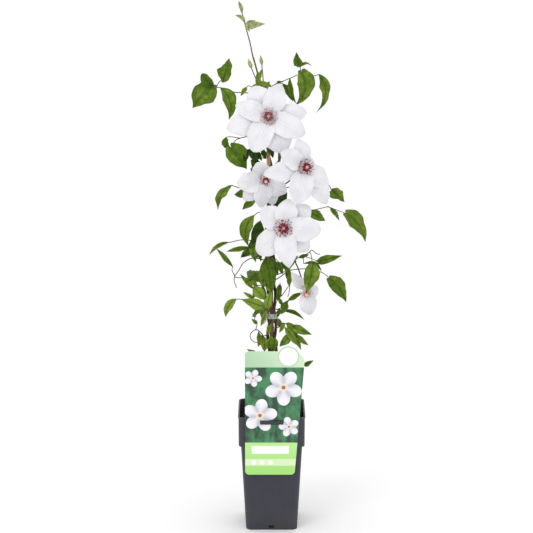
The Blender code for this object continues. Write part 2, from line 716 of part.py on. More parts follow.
# Sprays: height of the seat, routes of the stalks, then the leaflets, all in millimetres
SPRAYS = {
    "spray_crown_left": (633, [
        [(-36, -2, 640), (-53, -4, 641), (-70, -6, 647), (-86, -7, 649)],
        [(-78, -6, 652), (-73, -6, 657), (-69, -5, 655)]], [
        blade((-87, -7, 650), (-112, -13, 620), 35, shape=HEART, fold=14, ear=0.22),
        blade((-68, -5, 654), (-61, -2, 689), 21, face=(-0.3, -1, 0.2), sway=0.06),
        blade((-72, -6, 647), (-60, -12, 603), 20, face=(0.2, -1, 0.2), sway=-0.16)]),
    "spray_crown_right": (634, [
        [(0, 3, 648), (11, 0, 654), (36, -3, 665), (43, -4, 670)],
        [(40, -4, 668), (58, -4, 664), (66, -4, 666)],
        [(41, -3, 667), (40, -4, 674), (38, -4, 679)],
        [(11, 0, 654), (16, 3, 652)]], [
        blade((42, -4, 669), (34, -12, 623), 26.5, face=(0.3, -1, 0.2), shape=HEART, sway=-0.17),
        blade((66, -4, 666), (64, -8, 612), 16, face=(0.3, -1, 0.1), sway=-0.20, twist=14),
        blade((38, -4, 678), (34, -9, 697), 14, face=(-0.3, -1, 0), shape=HEART, fold=20, ear=0.1),
        blade((39, -4, 676), (56, 0, 679), 6, face=(0, -0.6, 1), arch=0.25),
        blade((15, 3, 652), (31, 5, 627), 12, face=(0.4, -1, 0.1))]),
    "spray_crown_tuft": (640, [
        [(-20, -7, 643), (-19, -9, 650)],
        [(-20, -6, 643), (-32, -4, 650), (-36, -4, 647)],
        [(-20, -7, 643), (-12, -9, 643)]], [
        blade((-19, -8, 648), (-20, -10, 671), 9, face=(0.2, -1, 0)),
        blade((-13, -9, 643), (-3, -12, 657), 10),
        blade((-35, -4, 648), (-44, -6, 636), 7)]),
    "spray_heart": (578, [
        [(-24, -2, 580), (-45, -5, 576), (-52, -6, 572), (-57, -9, 563)],
        [(-45, -5, 576), (-58, -4, 578), (-65, -3, 577)]], [
        blade((-57, -9, 562), (-35, -13, 533), 31, shape=HEART, fold=12, ear=0.18),
        blade((-65, -3, 577), (-62, -4, 559), 14, face=(-0.5, -1, 0), fold=30)]),
    "spray_dark_left": (566, [
        [(-14, 0, 561), (-16, -6, 550), (-20, -9, 546)],
        [(-16, -7, 549), (-8, -10, 548), (-2, -10, 555)]], [
        blade((-18, -8, 548), (-35, -13, 561), 16),
        blade((-20, -9, 546), (-27, -15, 534), 16),
        blade((-9, -9, 549), (-15, -12, 566), 8),
        blade((-2, -10, 556), (-5, -12, 571), 11, face=(0.3, -1, 0.1))]),
    "spray_left_mid": (494, [
        [(-18, -2, 499), (-40, -5, 503), (-57, -8, 509)],
        [(-26, -3, 500), (-38, -6, 496)],
        [(-18, -3, 498), (-24, -7, 490)]], [
        blade((-57, -8, 508), (-77, -13, 474), 12, sway=0.16),
        blade((-37, -6, 495), (-53, -10, 496), 13),
        blade((-23, -7, 491), (-42, -13, 475), 13)]),
    "spray_between": (470, [
        [(4, -12, 474), (5, -14, 479)]], [
        blade((5, -14, 479), (22, -18, 500), 16, face=(0.2, -1, 0.1)),
        blade((5, -14, 478), (-12, -20, 468), 16)]),
    "spray_right_high": (500, [
        [(24, 0, 505), (58, -3, 513), (79, -5, 510), (86, -7, 501)]], [
        blade((86, -7, 500), (104, -12, 486), 18, face=(0.3, -1, 0.2), shape=HEART)]),
    "spray_right_mid": (452, [
        [(24, 0, 458), (48, -3, 469), (66, -4, 474), (81, -5, 478)],
        [(80, -5, 477), (90, -6, 474), (107, -8, 468)],
        [(44, -2, 467), (52, 1, 471)]], [
        blade((83, -5, 475), (97, -11, 459), 8, face=(0.4, -1, 0.1), fold=25),
        blade((107, -8, 467), (135, -15, 428), 23, face=(0.2, -1, 0.2), shape=HEART, sway=-0.09),
        blade((51, 1, 471), (78, 5, 455), 15)]),
    "spray_left_dark": (465, [
        [(-10, -8, 468), (-19, -10, 470), (-25, -11, 466)],
        [(-12, -8, 468), (-15, -8, 454)]], [
        blade((-25, -11, 465), (-34, -20, 423), 19, face=(-0.2, -1, 0.2), sway=0.16),
        blade((-15, -8, 454), (-28, -16, 427), 18, face=(0.2, -1, 0))]),
    "spray_left_low": (421, [
        [(-16, -4, 425), (-40, -8, 430), (-61, -8, 426)],
        [(-16, -4, 425), (-25, -7, 420), (-33, -8, 419)]], [
        blade((-61, -8, 425), (-89, -17, 410), 7, shape=NARROW, fold=28, sway=0.12),
        blade((-33, -8, 419), (-64, -17, 415), 8, shape=NARROW, fold=24),
        blade((-25, -7, 418), (-45, -10, 404), 13),
        blade((-30, -6, 428), (-23, -13, 398), 13)]),
    "spray_left_hook": (400, [
        [(-20, -5, 402), (-31, -7, 402), (-41, -9, 396), (-47, -9, 386), (-53, -10, 377),
         (-54, -10, 370), (-51, -10, 360)],
        [(-53, -10, 377), (-57, -11, 386), (-56, -11, 391)],
        [(-52, -10, 375), (-40, -10, 374)]], [
        blade((-56, -11, 391), (-79, -8, 417), 8, shape=NARROW, fold=25)]),
    "spray_front": (404, [
        [(-8, -9, 407), (-8, -11, 398)],
        [(-10, -9, 406), (-2, -12, 404)]], [
        blade((-9, -10, 406), (1, -23, 355), 23, face=(0, -1, 0.1)),
        blade((-8, -11, 398), (-13, -16, 358), 15, face=(-0.3, -1, 0.2)),
        blade((-3, -12, 404), (10, -17, 380), 12, face=(0.4, -1, 0))]),
    "spray_left_inner": (360, [
        [(-10, -6, 362), (-20, -8, 363), (-26, -9, 361), (-27, -10, 354)],
        [(-10, -6, 362), (-14, -7, 371)]], [
        blade((-26, -9, 358), (-45, -13, 380), 8, shape=NARROW, fold=30),
        blade((-14, -7, 371), (-30, -12, 372), 8),
        blade((-26, -9, 361), (-8, -15, 343), 17, face=(0, -1, 0.1))]),
    "spray_left_foot": (333, [
        [(-12, -4, 336), (-38, -9, 342), (-51, -10, 343)]], [
        blade((-51, -10, 342), (-67, -15, 317), 13, face=(-0.3, -1, 0.2), sway=0.12),
        blade((-14, -4, 337), (-28, -12, 316), 9, face=(0.2, -1, 0))]),
    "spray_left_olive": (326, [
        [(-4, -8, 324), (-10, -12, 331)]], [
        blade((-10, -12, 332), (-43, -20, 345), 17, fold=22),
        blade((-8, -11, 328), (-1, -17, 357), 13, face=(0, -1, 0)),
        blade((-9, -11, 325), (-16, -16, 304), 8)]),
    "spray_right_branch": (373, [
        [(19, -5, 380), (28, -6, 390), (36, -7, 402), (45, -8, 406), (54, -9, 412), (58, -9, 415),
         (64, -9, 410), (69, -9, 409)],
        [(45, -8, 406), (46, -9, 395)],
        [(45, -8, 406), (56, -9, 403), (67, -9, 398)],
        [(54, -9, 412), (56, -26, 412), (58, -40, 398)]], [
        blade((67, -9, 398), (101, -13, 408), 13, face=(0.1, -1, 0.3), shape=HEART, ear=0.05),
        blade((46, -9, 395), (72, -13, 384), 6, shape=NARROW, sway=-0.22),
        blade((58, -40, 397), (50, -52, 362), 23.5, face=(0.1, -1, 0.1), shape=HEART, ear=0.08),
        blade((29, -6, 388), (38, -13, 407), 9, sway=-0.15),
        blade((38, -8, 405), (53, -12, 409), 6, shape=NARROW),
        blade((21, -5, 385), (26, -10, 365), 8)]),
    "spray_right_large": (379, [
        [(24, 4, 382), (50, -2, 386), (72, -8, 382), (85, -9, 372)]], [
        blade((85, -9, 371), (108, -17, 340), 22.5, face=(0.2, -1, 0.2), shape=HEART, sway=-0.05,
              ear=0.1)]),
    "spray_right_twig": (342, [
        [(14, -7, 347), (21, -9, 357), (27, -11, 367)],
        [(14, -7, 347), (12, -8, 356)],
        [(26, -11, 366), (25, -10, 352), (23, -10, 346)]], [
        blade((12, -8, 356), (8, -11, 340), 8)]),
    "spray_right_narrow": (327, [
        [(17, -7, 331), (22, -8, 335), (24, -9, 341)],
        [(17, -7, 331), (17, -8, 325)]], [
        blade((17, -8, 325), (47, -15, 313), 7, fold=30, sway=-0.12),
        blade((21, -9, 337), (13, -13, 321), 11),
        blade((24, -9, 341), (43, -12, 353), 8, shape=NARROW)]),
    "spray_right_foot": (300, [
        [(16, -6, 306), (20, -8, 306), (26, -8, 302)],
        [(18, -8, 306), (19, -9, 301), (28, -9, 293), (34, -9, 289)]], [
        blade((26, -8, 302), (58, -17, 292), 13, face=(0.2, -1, 0.2)),
        blade((20, -9, 301), (39, -17, 274), 11, face=(0.1, -1, 0.2)),
        blade((31, -9, 291), (54, -12, 274), 9, face=(0.3, -1, 0)),
        blade((30, -9, 291), (11, -8, 271), 13)]),
    "spray_low_left": (268, [
        [(-6, -8, 276), (-15, -9, 292), (-23, -9, 297), (-30, -9, 292), (-31, -9, 285), (-26, -9, 279),
         (-17, -9, 278)],
        [(-23, -9, 297), (-21, -9, 306)]], [
        blade((-11, -9, 286), (-10, -13, 265), 14, face=(0.2, -1, 0)),
        blade((-15, -9, 278), (-19, -15, 296), 9),
        blade((-21, -9, 306), (-29, -12, 314), 6)]),
    "spray_low_front": (284, [
        [(4, -11, 284), (5, -14, 287)]], [
        blade((5, -13, 286), (1, -17, 266), 13, face=(0.1, -1, 0.1))]),
    "spray_low_right": (225, [
        [(22, 2, 236), (34, 2, 242), (47, 0, 240)]], [
        blade((47, 0, 240), (61, -3, 249), 8, fold=25),
        blade((30, 2, 240), (40, -4, 225), 14)]),
    "spray_low_side": (240, [
        [(-12, -1, 250), (-22, -4, 260)]], [
        blade((-21, -4, 259), (-36, -10, 268), 6),
        blade((-14, -2, 253), (-26, -10, 240), 13)]),
    "spray_back_low": (290, [
        [(2, 15, 298), (-4, 30, 310), (-8, 42, 318)]], [
        blade((-8, 41, 318), (-12, 70, 292), 20, face=(-0.2, 1, 0.6)),
        blade((0, 24, 304), (16, 44, 286), 15, face=(0.3, 1, 0.5))]),
    "spray_back_left": (352, [
        [(-6, 14, 358), (-16, 28, 368), (-22, 40, 374)]], [
        blade((-21, 39, 374), (-34, 66, 350), 19, face=(-0.3, 1, 0.6)),
        blade((-14, 26, 366), (0, 50, 352), 15, face=(0.2, 1, 0.5))]),
    "spray_back_right": (430, [
        [(14, 12, 436), (24, 28, 446), (30, 42, 452)]], [
        blade((29, 41, 452), (44, 68, 428), 21, face=(0.3, 1, 0.6)),
        blade((22, 24, 444), (6, 50, 428), 17, face=(-0.2, 1, 0.5))]),
    "spray_back_high": (505, [
        [(-4, 14, 512), (-12, 30, 522), (-16, 44, 528)]], [
        blade((-15, 43, 528), (-26, 70, 504), 20, face=(-0.3, 1, 0.6)),
        blade((-9, 24, 519), (8, 46, 502), 17, face=(0.2, 1, 0.5))]),
    "spray_back_crown": (590, [
        [(10, 18, 598), (16, 32, 608), (18, 42, 612)]], [
        blade((18, 41, 612), (30, 64, 590), 18, face=(0.3, 1, 0.6)),
        blade((13, 25, 603), (-2, 46, 590), 15, face=(-0.3, 1, 0.5))]),
}

# Young shoot at the very top
LEADER_ROUTE = ((-27, 0, 692), (-30, 0, 707), (-35, 0, 726), (-39, 0, 741), (-42, 0, 753))
LEADER_LEAVES = (
    blade((-41, 0, 751), (-46, -1, 767.5), 6, face=(0.3, -1, 0.2), shape=NARROW),
    blade((-36, -1, 731), (-10, -8, 737), 11, arch=0.12),
    blade((-38, 0, 735), (-23, -4, 741), 6, shape=NARROW),
    blade((-39, 0, 736), (-51, -5, 748), 6, sway=0.18, shape=NARROW),
    blade((-37, -1, 733), (-31, -7, 726), 5),
)

# Buds: stalk corners, then the bud's tip, its width and the height of its seat
BUDS = {
    "bud_left": ([(-19, -5, 654), (-24, -8, 664), (-29, -8, 676)], (-33, -8, 688), 5.8, 645),
    "bud_right": ([(-12, -5, 656), (-13, -6, 668), (-14, -6, 680)], (-16, -6, 693), 5.0, 649),
}

# Blooms: hub, way it faces, rise of the petals, stalk corners with its seat height, then each
# petal's angle seen from the front, length and width in millimetres, rise of its own, and how
# pointed its tip is
BLOOMS = {
    "bloom_top": ((-4, -44, 611), (-0.05, -1, 0.18), 6, (580, [(-4, -12, 583), (-4, -26, 596)]), [
        (119, 48, 35, 0, 0.56), (71, 48, 31, 0, 0.68), (8, 52, 30, 2, 0.62), (-26, 55, 34, 0, 0.60),
        (-67, 53, 40, 0, 0.56), (-114, 53, 36, 0, 0.60), (-164, 61, 34, 0, 0.68), (161, 49, 28, 2, 0.68)]),
    "bloom_right": ((45, -52, 542), (0.3, -1, 0.12), 8, (508, [(20, -10, 512), (36, -28, 528)]), [
        (103, 40, 25, 10, 0.60), (147, 42, 28, 4, 0.62), (-173, 60, 29, 4, 0.75),
        (-107, 52, 36, 0, 0.62), (-58, 63, 30, -2, 0.75), (-41, 46, 29, -6, 0.90),
        (29, 20, 22, -20, 0.60)]),
    "bloom_left": ((-10, -34, 524), (0.1, -1, -0.18), 10, (488, [(-8, -10, 492), (-12, -22, 510)]), [
        (115, 27, 26, 10, 0.64), (-170, 40, 32, 0, 0.62), (-131, 44, 27, 0, 0.66),
        (-98, 43, 26, 0, 0.74), (-71, 43, 25, 0, 0.74), (-36, 37, 27, 0, 0.66)]),
    "bloom_low": ((16, -64, 458), (0.02, -1, 0.14), 4, (412, [(12, -16, 414), (16, -38, 432)]), [
        (138, 41, 32, 2, 0.62), (79, 41, 31, 0, 0.66), (38, 48, 33, 0, 0.62), (-3, 52, 35, 0, 0.56),
        (-42, 48, 32, 0, 0.64), (-82, 56, 32, 0, 0.85), (-134, 51, 35, 0, 0.56)]),
    "bloom_nodding": ((48, -24, 360), (0.12, -1, -0.3), 14,
        (390, [(22, -12, 393), (31, -17, 400), (37, -17, 392)]), [
        (124, 39, 16, 4, 0.78), (-78, 39, 25, 0, 0.78), (-4, 19, 22, 6, 0.52), (78, 24, 17, -22, 0.60)]),
}
# Stamens of each bloom: how many, how far they spread and how far they rise
STAMENS = {
    "bloom_top": (14, 0.0110, 0.0065),
    "bloom_right": (14, 0.0105, 0.0070),
    "bloom_left": (10, 0.0075, 0.0090),
    "bloom_low": (16, 0.0120, 0.0062),
    "bloom_nodding": (8, 0.0080, 0.0080),
}
STAMEN_SEED = 5


def petal_shape(point):
    """Outline of a petal: a blunt tip goes with a place of the widest point far out."""
    return PETAL_FOOT, 0.74 - 0.34 * point, point


def bloom_frame(hub, facing):
    """Axes of a bloom: right and up as seen from the front, then the way it faces."""
    axis = Vector(facing).normalized()
    right = Vector((0, 0, 1)).cross(-axis).normalized() * -1
    up = axis.cross(right)
    return mm(hub), right, up, axis


def petal_specs(name):
    """The petals of one bloom as blades in the plant's frame."""
    hub, facing, rise, _, petals = BLOOMS[name]
    centre, right, up, axis = bloom_frame(hub, facing)
    specs = []
    for index, (angle, length, width, own_rise, point) in enumerate(petals):
        turn = math.radians(angle)
        outward = right * math.cos(turn) + up * math.sin(turn)
        lift = math.radians(rise + own_rise + PETAL_SPLAY[index % 2])
        heading = outward * math.cos(lift) + axis * math.sin(lift)
        layer = axis * PETAL_LAYERS[index % 2]
        base = centre + outward * PETAL_ROOT + layer
        tip = centre + heading * length * MM + layer
        specs.append(blade(base / MM, tip / MM, width, face=axis - heading * 0.2, shape=petal_shape(point),
                           fold=4, arch=0.07, curl=-0.14, wave=0.06, twist=5 * math.sin(3 * index)))
    return specs


def stamen(centre, right, up, axis, turn, reach, rise):
    """One stamen: a thin filament that ends in a thicker anther."""
    outward = right * math.cos(turn) + up * math.sin(turn)
    core = axis * (HUB_FRONT + GAP)
    route = [
        centre + outward * STAMEN_ROOT[0] + core + axis * STAMEN_ROOT[1],
        centre + outward * reach * 0.62 + core + axis * rise * 0.72,
        centre + outward * reach + core + axis * rise,
    ]
    return tube(route, STAMEN_RADII, 3)


def make_bloom(name, stems):
    """Petals with their hub, the stamens on their core, and the flower stalk."""
    hub, facing, _, (height, corners), _ = BLOOMS[name]
    centre, right, up, axis = bloom_frame(hub, facing)
    disc = [centre + axis * HUB_BACK, centre + axis * HUB_FRONT]
    pieces = [tube(disc, [HUB_RADIUS * 0.8, HUB_RADIUS], HUB_SIDES)]
    pieces += [blade_solid(spec, LEAF_THICKNESS, PETAL_PLACES, 2) for spec in petal_specs(name)]
    fuse(name + "_petals", pieces, PETAL_FINISH)

    foot = HUB_FRONT + GAP
    dome = [centre + axis * (foot + CORE_HEIGHT * share) for share in (0.0, 0.45, 0.8, 1.0)]
    pieces = [tube(dome, [CORE_RADIUS * share for share in (1.0, 1.0, 0.7, 0.3)], CORE_SIDES)]
    draw = random.Random(STAMEN_SEED)
    count, spread, height_of_ring = STAMENS[name]
    for index in range(count):
        turn = 2 * math.pi * index / count + draw.uniform(-0.08, 0.08)
        outer = index % 2
        reach = spread * (1.0 if outer else 0.62) * draw.uniform(0.9, 1.05)
        rise = height_of_ring * (0.95 if outer else 1.35) * draw.uniform(0.9, 1.1)
        pieces.append(stamen(centre, right, up, axis, turn, reach, rise))
    fuse(name + "_stamens", pieces, STAMEN_FINISH)

    route = [mm(point) for point in corners]
    number = best_stem(stems, height * MM, route[0])
    root, heading = seat(stems, number, height * MM, route[0])
    neck = centre + axis * (HUB_BACK - GAP)
    route += [neck - axis * length for length in STALK_NECK]
    route = smooth_route([root, root + heading * STALK_LEAD, *route, neck], 2)
    mesh_object(name + "_stalk", *tube(route, taper(len(route), *STALK_RADII), STALK_SIDES), STALK_FINISH)


def make_bud(name, stems):
    """Pointed closed bud on its own thin stalk."""
    corners, tip, width, height = BUDS[name]
    first = [mm(point) for point in corners]
    root, heading = seat(stems, 0, height * MM, first[0])
    start = first[-1]
    end = mm(tip)
    sunk = start.lerp(end, BUD_SUNK)
    stalk = smooth_route([root, root + heading * LEAD, *first[:-1], sunk], 2)
    shares = ((-0.08, 0.30), (0.12, 0.75), (0.35, 1.0), (0.62, 0.80), (0.85, 0.40), (1.0, 0.12))
    route = [start.lerp(end, share) for share, _ in shares]
    body = tube(route, [width * MM / 2 * swell for _, swell in shares], BUD_SIDES)
    fuse(name, [tube(stalk, taper(len(stalk), *BUD_STALK_RADII), TWIG_SIDES), body], YOUNG_FINISH)


def make_leader(stems):
    """Young tip shoot, carried on the end of the first stem."""
    end = stems[0][0][-1]
    before = stems[0][0][-2]
    root = end + (end - before).normalized() * SEAT_GAP
    route = smooth_route([root, *[mm(point) for point in LEADER_ROUTE]], 2)
    pieces = [tube(route, taper(len(route), *LEADER_RADII), STALK_SIDES)]
    pieces += [leaf_solid(rooted(spec, [route])) for spec in LEADER_LEAVES]
    fuse("leader_shoot", pieces, YOUNG_FINISH)


def make_tie(name):
    """Clear band round the cane and stems, with its two ends pinched into a tab."""
    z, height, room = TIES[name]
    reach = CANE_RADIUS * 1.1 + 2 * STEM_RADIUS_LOW + STEM_CLEARANCE + room
    centre = cane_centre(z)
    outer = reach + TIE_WALL
    section = ((reach, 0.0), (outer, 0.0), (outer, height), (reach, height))
    points = []
    for radius, level in section:
        for side in range(TIE_SIDES):
            turn = 2 * math.pi * side / TIE_SIDES
            points.append(centre + Vector((math.cos(turn) * radius, math.sin(turn) * radius, level)))
    faces = []
    for level in range(4):
        for side in range(TIE_SIDES):
            after = (side + 1) % TIE_SIDES
            low = level * TIE_SIDES
            high = (level + 1) % 4 * TIE_SIDES
            faces.append((low + side, low + after, high + after, high + side))
    tab_x = reach * 0.6
    inside = reach * 0.85
    low = centre + Vector((tab_x, -reach - TIE_TAB, TIE_WALL))
    high = centre + Vector((tab_x + TIE_TAB_THICKNESS, -inside, height - TIE_WALL))
    fuse(name, [(points, faces), block(low, high)], TIE_FINISH)


def main():
    clear_scene()
    make_pot()
    cane_route = make_cane()
    stems = make_stems()
    holes = [(cane_route, CANE_RADIUS * 1.1, CANE_SIDES)]
    holes += [(route, STEM_RADIUS_LOW, STEM_SIDES) for route, _ in stems]
    make_soil(holes)
    make_label()
    for name in TIES:
        make_tie(name)
    for name in SPRAYS:
        make_spray(name, stems)
    make_leader(stems)
    for name in BUDS:
        make_bud(name, stems)
    for name in BLOOMS:
        make_bloom(name, stems)


main()
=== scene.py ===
"""Looks of a flowering clematis in a square nursery pot, twined up one bamboo cane.

Metres, +Z up, origin in the middle of the pot's underside. The side with the blooms and the
plant label looks along -Y, and +X is its right-hand side.
"""

import math
import random

import bpy
from mathutils import Matrix, Vector


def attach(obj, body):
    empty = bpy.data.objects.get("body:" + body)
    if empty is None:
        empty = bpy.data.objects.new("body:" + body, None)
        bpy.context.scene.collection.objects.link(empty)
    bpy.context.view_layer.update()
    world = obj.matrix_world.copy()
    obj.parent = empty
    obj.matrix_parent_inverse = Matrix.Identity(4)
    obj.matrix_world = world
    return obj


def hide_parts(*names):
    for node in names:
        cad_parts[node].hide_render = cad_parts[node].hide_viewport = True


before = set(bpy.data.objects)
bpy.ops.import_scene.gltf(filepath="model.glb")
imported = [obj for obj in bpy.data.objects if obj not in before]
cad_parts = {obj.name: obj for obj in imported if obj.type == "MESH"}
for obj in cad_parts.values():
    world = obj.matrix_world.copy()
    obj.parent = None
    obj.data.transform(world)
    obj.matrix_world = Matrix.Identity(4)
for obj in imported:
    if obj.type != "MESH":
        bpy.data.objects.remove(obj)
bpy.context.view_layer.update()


# POT
# A tall square tub, vacuum-formed from a thin anthracite sheet, with a collar round its top
# and a rolled rim. Water leaves by a slot in each side and four holes in the underside, and a
# toothed tongue on the front of the collar grips the plant label.
POT_HEIGHT = 0.1756
RIM_SIDE = 0.0980
COLLAR_SIDE = 0.0961
COLLAR_Z = 0.1308
BODY_SIDE = 0.0894
FOOT_SIDE = 0.0766
POT_WALL = 0.0015
POT_FLOOR = 0.0020
POT_CORNER = 0.0090
FOOT_CHAMFER = 0.0016
RIM_BEAD = 0.0008
FOLD_RADIUS = 0.0009
UNDERSIDE_RIM = 0.0120
FLOOR_RIM = 0.0100
SLOT_SIZE = (0.0080, 0.0040)
SLOT_Z = 0.0030
HOLE_RADIUS = 0.0040
HOLE_OFFSET = 0.0220
HOLE_SIDES = 24
TONGUE_WIDTH = 0.0330
TONGUE_TOP = 0.1722
TONGUE_DEPTH = 0.0036
TONGUE_HEIGHT = 0.0038
TONGUE_TEETH = 7
TOOTH = 0.0018
GAP = 0.0003


def maths(operation):
    """A method that adds one Math node for two values."""
    return lambda self, other: self.math(operation, self, other)


class Signal:
    """One output in a finish's node tree. Arithmetic on it adds Math nodes."""

    def __init__(self, finish, socket):
        self.finish = finish
        self.socket = socket

    def math(self, operation, *values):
        return self.finish.node("ShaderNodeMath", {"operation": operation}, dict(enumerate(values)))

    __add__ = __radd__ = maths("ADD")
    __sub__ = maths("SUBTRACT")
    __mul__ = maths("MULTIPLY")
    __truediv__ = maths("DIVIDE")
    __pow__ = maths("POWER")
    __or__ = maths("MAXIMUM")

    def __abs__(self):
        return self.math("ABSOLUTE", self)

    def between(self, low, high):
        """0 at low and before, 1 at high and after, smooth in between; low may be the larger."""
        return self.finish.node("ShaderNodeMapRange", {"interpolation_type": "SMOOTHSTEP"},
                                {"Value": self, "From Min": low, "From Max": high})


class Finish:
    """A material: constants go straight to its shader, and node() adds all that varies."""

    def __init__(self, name, constants):
        self.material = bpy.data.materials.new(name)
        self.material.use_nodes = True
        self.tree = self.material.node_tree
        self.shader = self.tree.nodes["Principled BSDF"]
        for socket, value in constants.items():
            self.shader.inputs[socket].default_value = value
        self.place = self.node("ShaderNodeTexCoord", {}, {}, "Object")

    def node(self, kind, settings, sockets, output=0):
        """Any node: its settings first, then the values or links of its sockets."""
        made = self.tree.nodes.new(kind)
        for name, value in settings.items():
            setattr(made, name, value)
        for name, value in sockets.items():
            self.feed(made.inputs[name], value)
        return Signal(self, made.outputs[output])

    def feed(self, socket, value):
        """Link a signal to a socket, or set the socket's own value."""
        if isinstance(value, Signal):
            self.tree.links.new(value.socket, socket)
        else:
            socket.default_value = (*value, 1.0) if socket.type == "RGBA" else value

    def noise(self, scale, detail=3.0, place=None):
        """Soft random clouds, as many a metre as the scale says."""
        return self.node("ShaderNodeTexNoise", {},
                         {"Vector": place or self.place, "Scale": scale, "Detail": detail})

    def stretched(self, scale):
        """Object coordinates with each axis scaled."""
        return self.node("ShaderNodeMapping", {}, {"Vector": self.place, "Scale": scale})

    def axes(self, vector):
        """The three parts of a vector, as signals."""
        return [self.node("ShaderNodeSeparateXYZ", {}, {0: vector}, part) for part in range(3)]

    def mark(self, name, output="Fac"):
        """What the mesh says about each point under that name."""
        return self.node("ShaderNodeAttribute", {"attribute_name": name}, {}, output)

    def spots(self):
        """How far along its blade or stalk each point is, how far across, and on which face."""
        return self.axes(self.mark("spot", "Vector"))

    def mix(self, share, first, second):
        """A colour between two."""
        return self.node("ShaderNodeMix", {"data_type": "RGBA"}, {0: share, 6: first, 7: second}, 2)

    def coats(self, colour, *coats):
        """A ground colour with other colours laid over it, each as (its share, the colour)."""
        for share, coat in coats:
            colour = self.mix(share, colour, coat)
        return colour

    def finish(self, colour, roughness, height=None, depth=0.0):
        """Feed the colour, the roughness and a relief to the shader."""
        self.feed(self.shader.inputs["Base Color"], colour)
        self.feed(self.shader.inputs["Roughness"], roughness)
        if height is not None:
            relief = self.node("ShaderNodeBump", {}, {"Height": height, "Distance": depth})
            self.feed(self.shader.inputs["Normal"], relief)


def placed(name, data):
    """A mesh, a lamp or the camera as an object of the scene."""
    piece = bpy.data.objects.new(name, data)
    bpy.context.scene.collection.objects.link(piece)
    return piece


class Form:
    """A piece's mesh as it grows: each point holds its place on its blade or stalk and a tone."""

    def __init__(self):
        self.points = []
        self.faces = []
        self.spots = []
        self.tones = []
        self.finishes = []

    def add(self, points, faces, spots=None, tone=0.0, finish=0):
        """Add a shape; its faces count the points of the shape from 0."""
        start = len(self.points)
        self.points += points
        self.faces += [tuple(start + corner for corner in face) for face in faces]
        self.spots += spots or [(0.0, 0.0, 0.0)] * len(points)
        self.tones += [tone] * len(points)
        self.finishes += [finish] * len(faces)

    def loft(self, rings, tone=0.0, finish=0):
        """A closed body through rings of equal count."""
        count = len(rings[0])
        last = len(rings) - 1
        faces = []
        for low in range(0, last * count, count):
            for index in range(count):
                after = (index + 1) % count
                faces.append((low + index, low + after, low + after + count, low + index + count))
        faces.append(tuple(reversed(range(count))))
        faces.append(tuple(range(last * count, (last + 1) * count)))
        spots = [(ring / last, index / count, 0.0) for ring in range(last + 1) for index in range(count)]
        self.add([point for ring in rings for point in ring], faces, spots, tone, finish)

    def mesh(self, name, finishes):
        """The form as an object of the scene, smooth all over."""
        mesh = bpy.data.meshes.new(name)
        mesh.from_pydata([tuple(point) for point in self.points], [], self.faces)
        for finish in finishes:
            mesh.materials.append(finish.material)
        mesh.polygons.foreach_set("material_index", self.finishes)
        spot = mesh.attributes.new("spot", "FLOAT_VECTOR", "POINT")
        spot.data.foreach_set("vector", [number for place in self.spots for number in place])
        tone = mesh.attributes.new("tone", "FLOAT", "POINT")
        tone.data.foreach_set("value", self.tones)
        mesh.shade_smooth()
        return placed(name, mesh)


def dressed(piece, node, crisp=None):
    """Fix a finished piece to the plant in place of its solid; crisp edges turn more than that."""
    if crisp:
        piece.data.set_sharp_from_angle(angle=math.radians(crisp))
    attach(piece, "root")
    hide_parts(node)


def turns(count):
    """Even turns of a full circle."""
    return [math.tau * side / count for side in range(count)]


def level_ray(turn):
    """The level direction at a turn from +X."""
    return Vector((math.cos(turn), math.sin(turn), 0))


def square_ring(half, corner, z, steps):
    """Rounded square seen from above, anticlockwise."""
    ring = []
    for quarter in range(4):
        middle = math.pi / 4 + quarter * math.pi / 2
        centre = Vector((math.copysign(half - corner, math.cos(middle)),
                         math.copysign(half - corner, math.sin(middle)), z))
        for step in range(steps + 1):
            ring.append(centre + level_ray(math.pi / 2 * (quarter + step / steps)) * corner)
    return ring


def rounded(profile, radius, steps):
    """A profile whose inner corners are rounded off."""
    smooth = [profile[0]]
    for before, corner, after in zip(profile, profile[1:], profile[2:]):
        start = corner + (before - corner).normalized() * min(radius, (before - corner).length / 2.1)
        end = corner + (after - corner).normalized() * min(radius, (after - corner).length / 2.1)
        for step in range(steps + 1):
            share = step / steps
            smooth.append(start.lerp(corner, share).lerp(corner.lerp(end, share), share))
    smooth.append(profile[-1])
    return smooth


def cut(piece, points, faces, operation="DIFFERENCE"):
    """Cut a closed shape out of a piece, or join it on."""
    mesh = bpy.data.meshes.new("tool")
    mesh.from_pydata([tuple(point) for point in points], [], faces)
    tool = placed("tool", mesh)
    step = piece.modifiers.new("Cut", "BOOLEAN")
    step.operation = operation
    step.object = tool
    step.solver = "EXACT"
    graph = bpy.context.evaluated_depsgraph_get()
    piece.data = bpy.data.meshes.new_from_object(piece.evaluated_get(graph))
    piece.modifiers.remove(step)
    bpy.data.objects.remove(tool, do_unlink=True)


def block(low, high):
    """Points and faces of a box between two corners."""
    corners = [Vector((x, y, z)) for z in (low[2], high[2]) for y in (low[1], high[1])
               for x in (low[0], high[0])]
    return corners, [(0, 2, 3, 1), (4, 5, 7, 6), (0, 1, 5, 4), (2, 6, 7, 3), (0, 4, 6, 2), (1, 3, 7, 5)]


def body_half(z):
    """Half the outer width of the pot's body at a height."""
    return (FOOT_SIDE + (BODY_SIDE - FOOT_SIDE) * z / COLLAR_Z) / 2


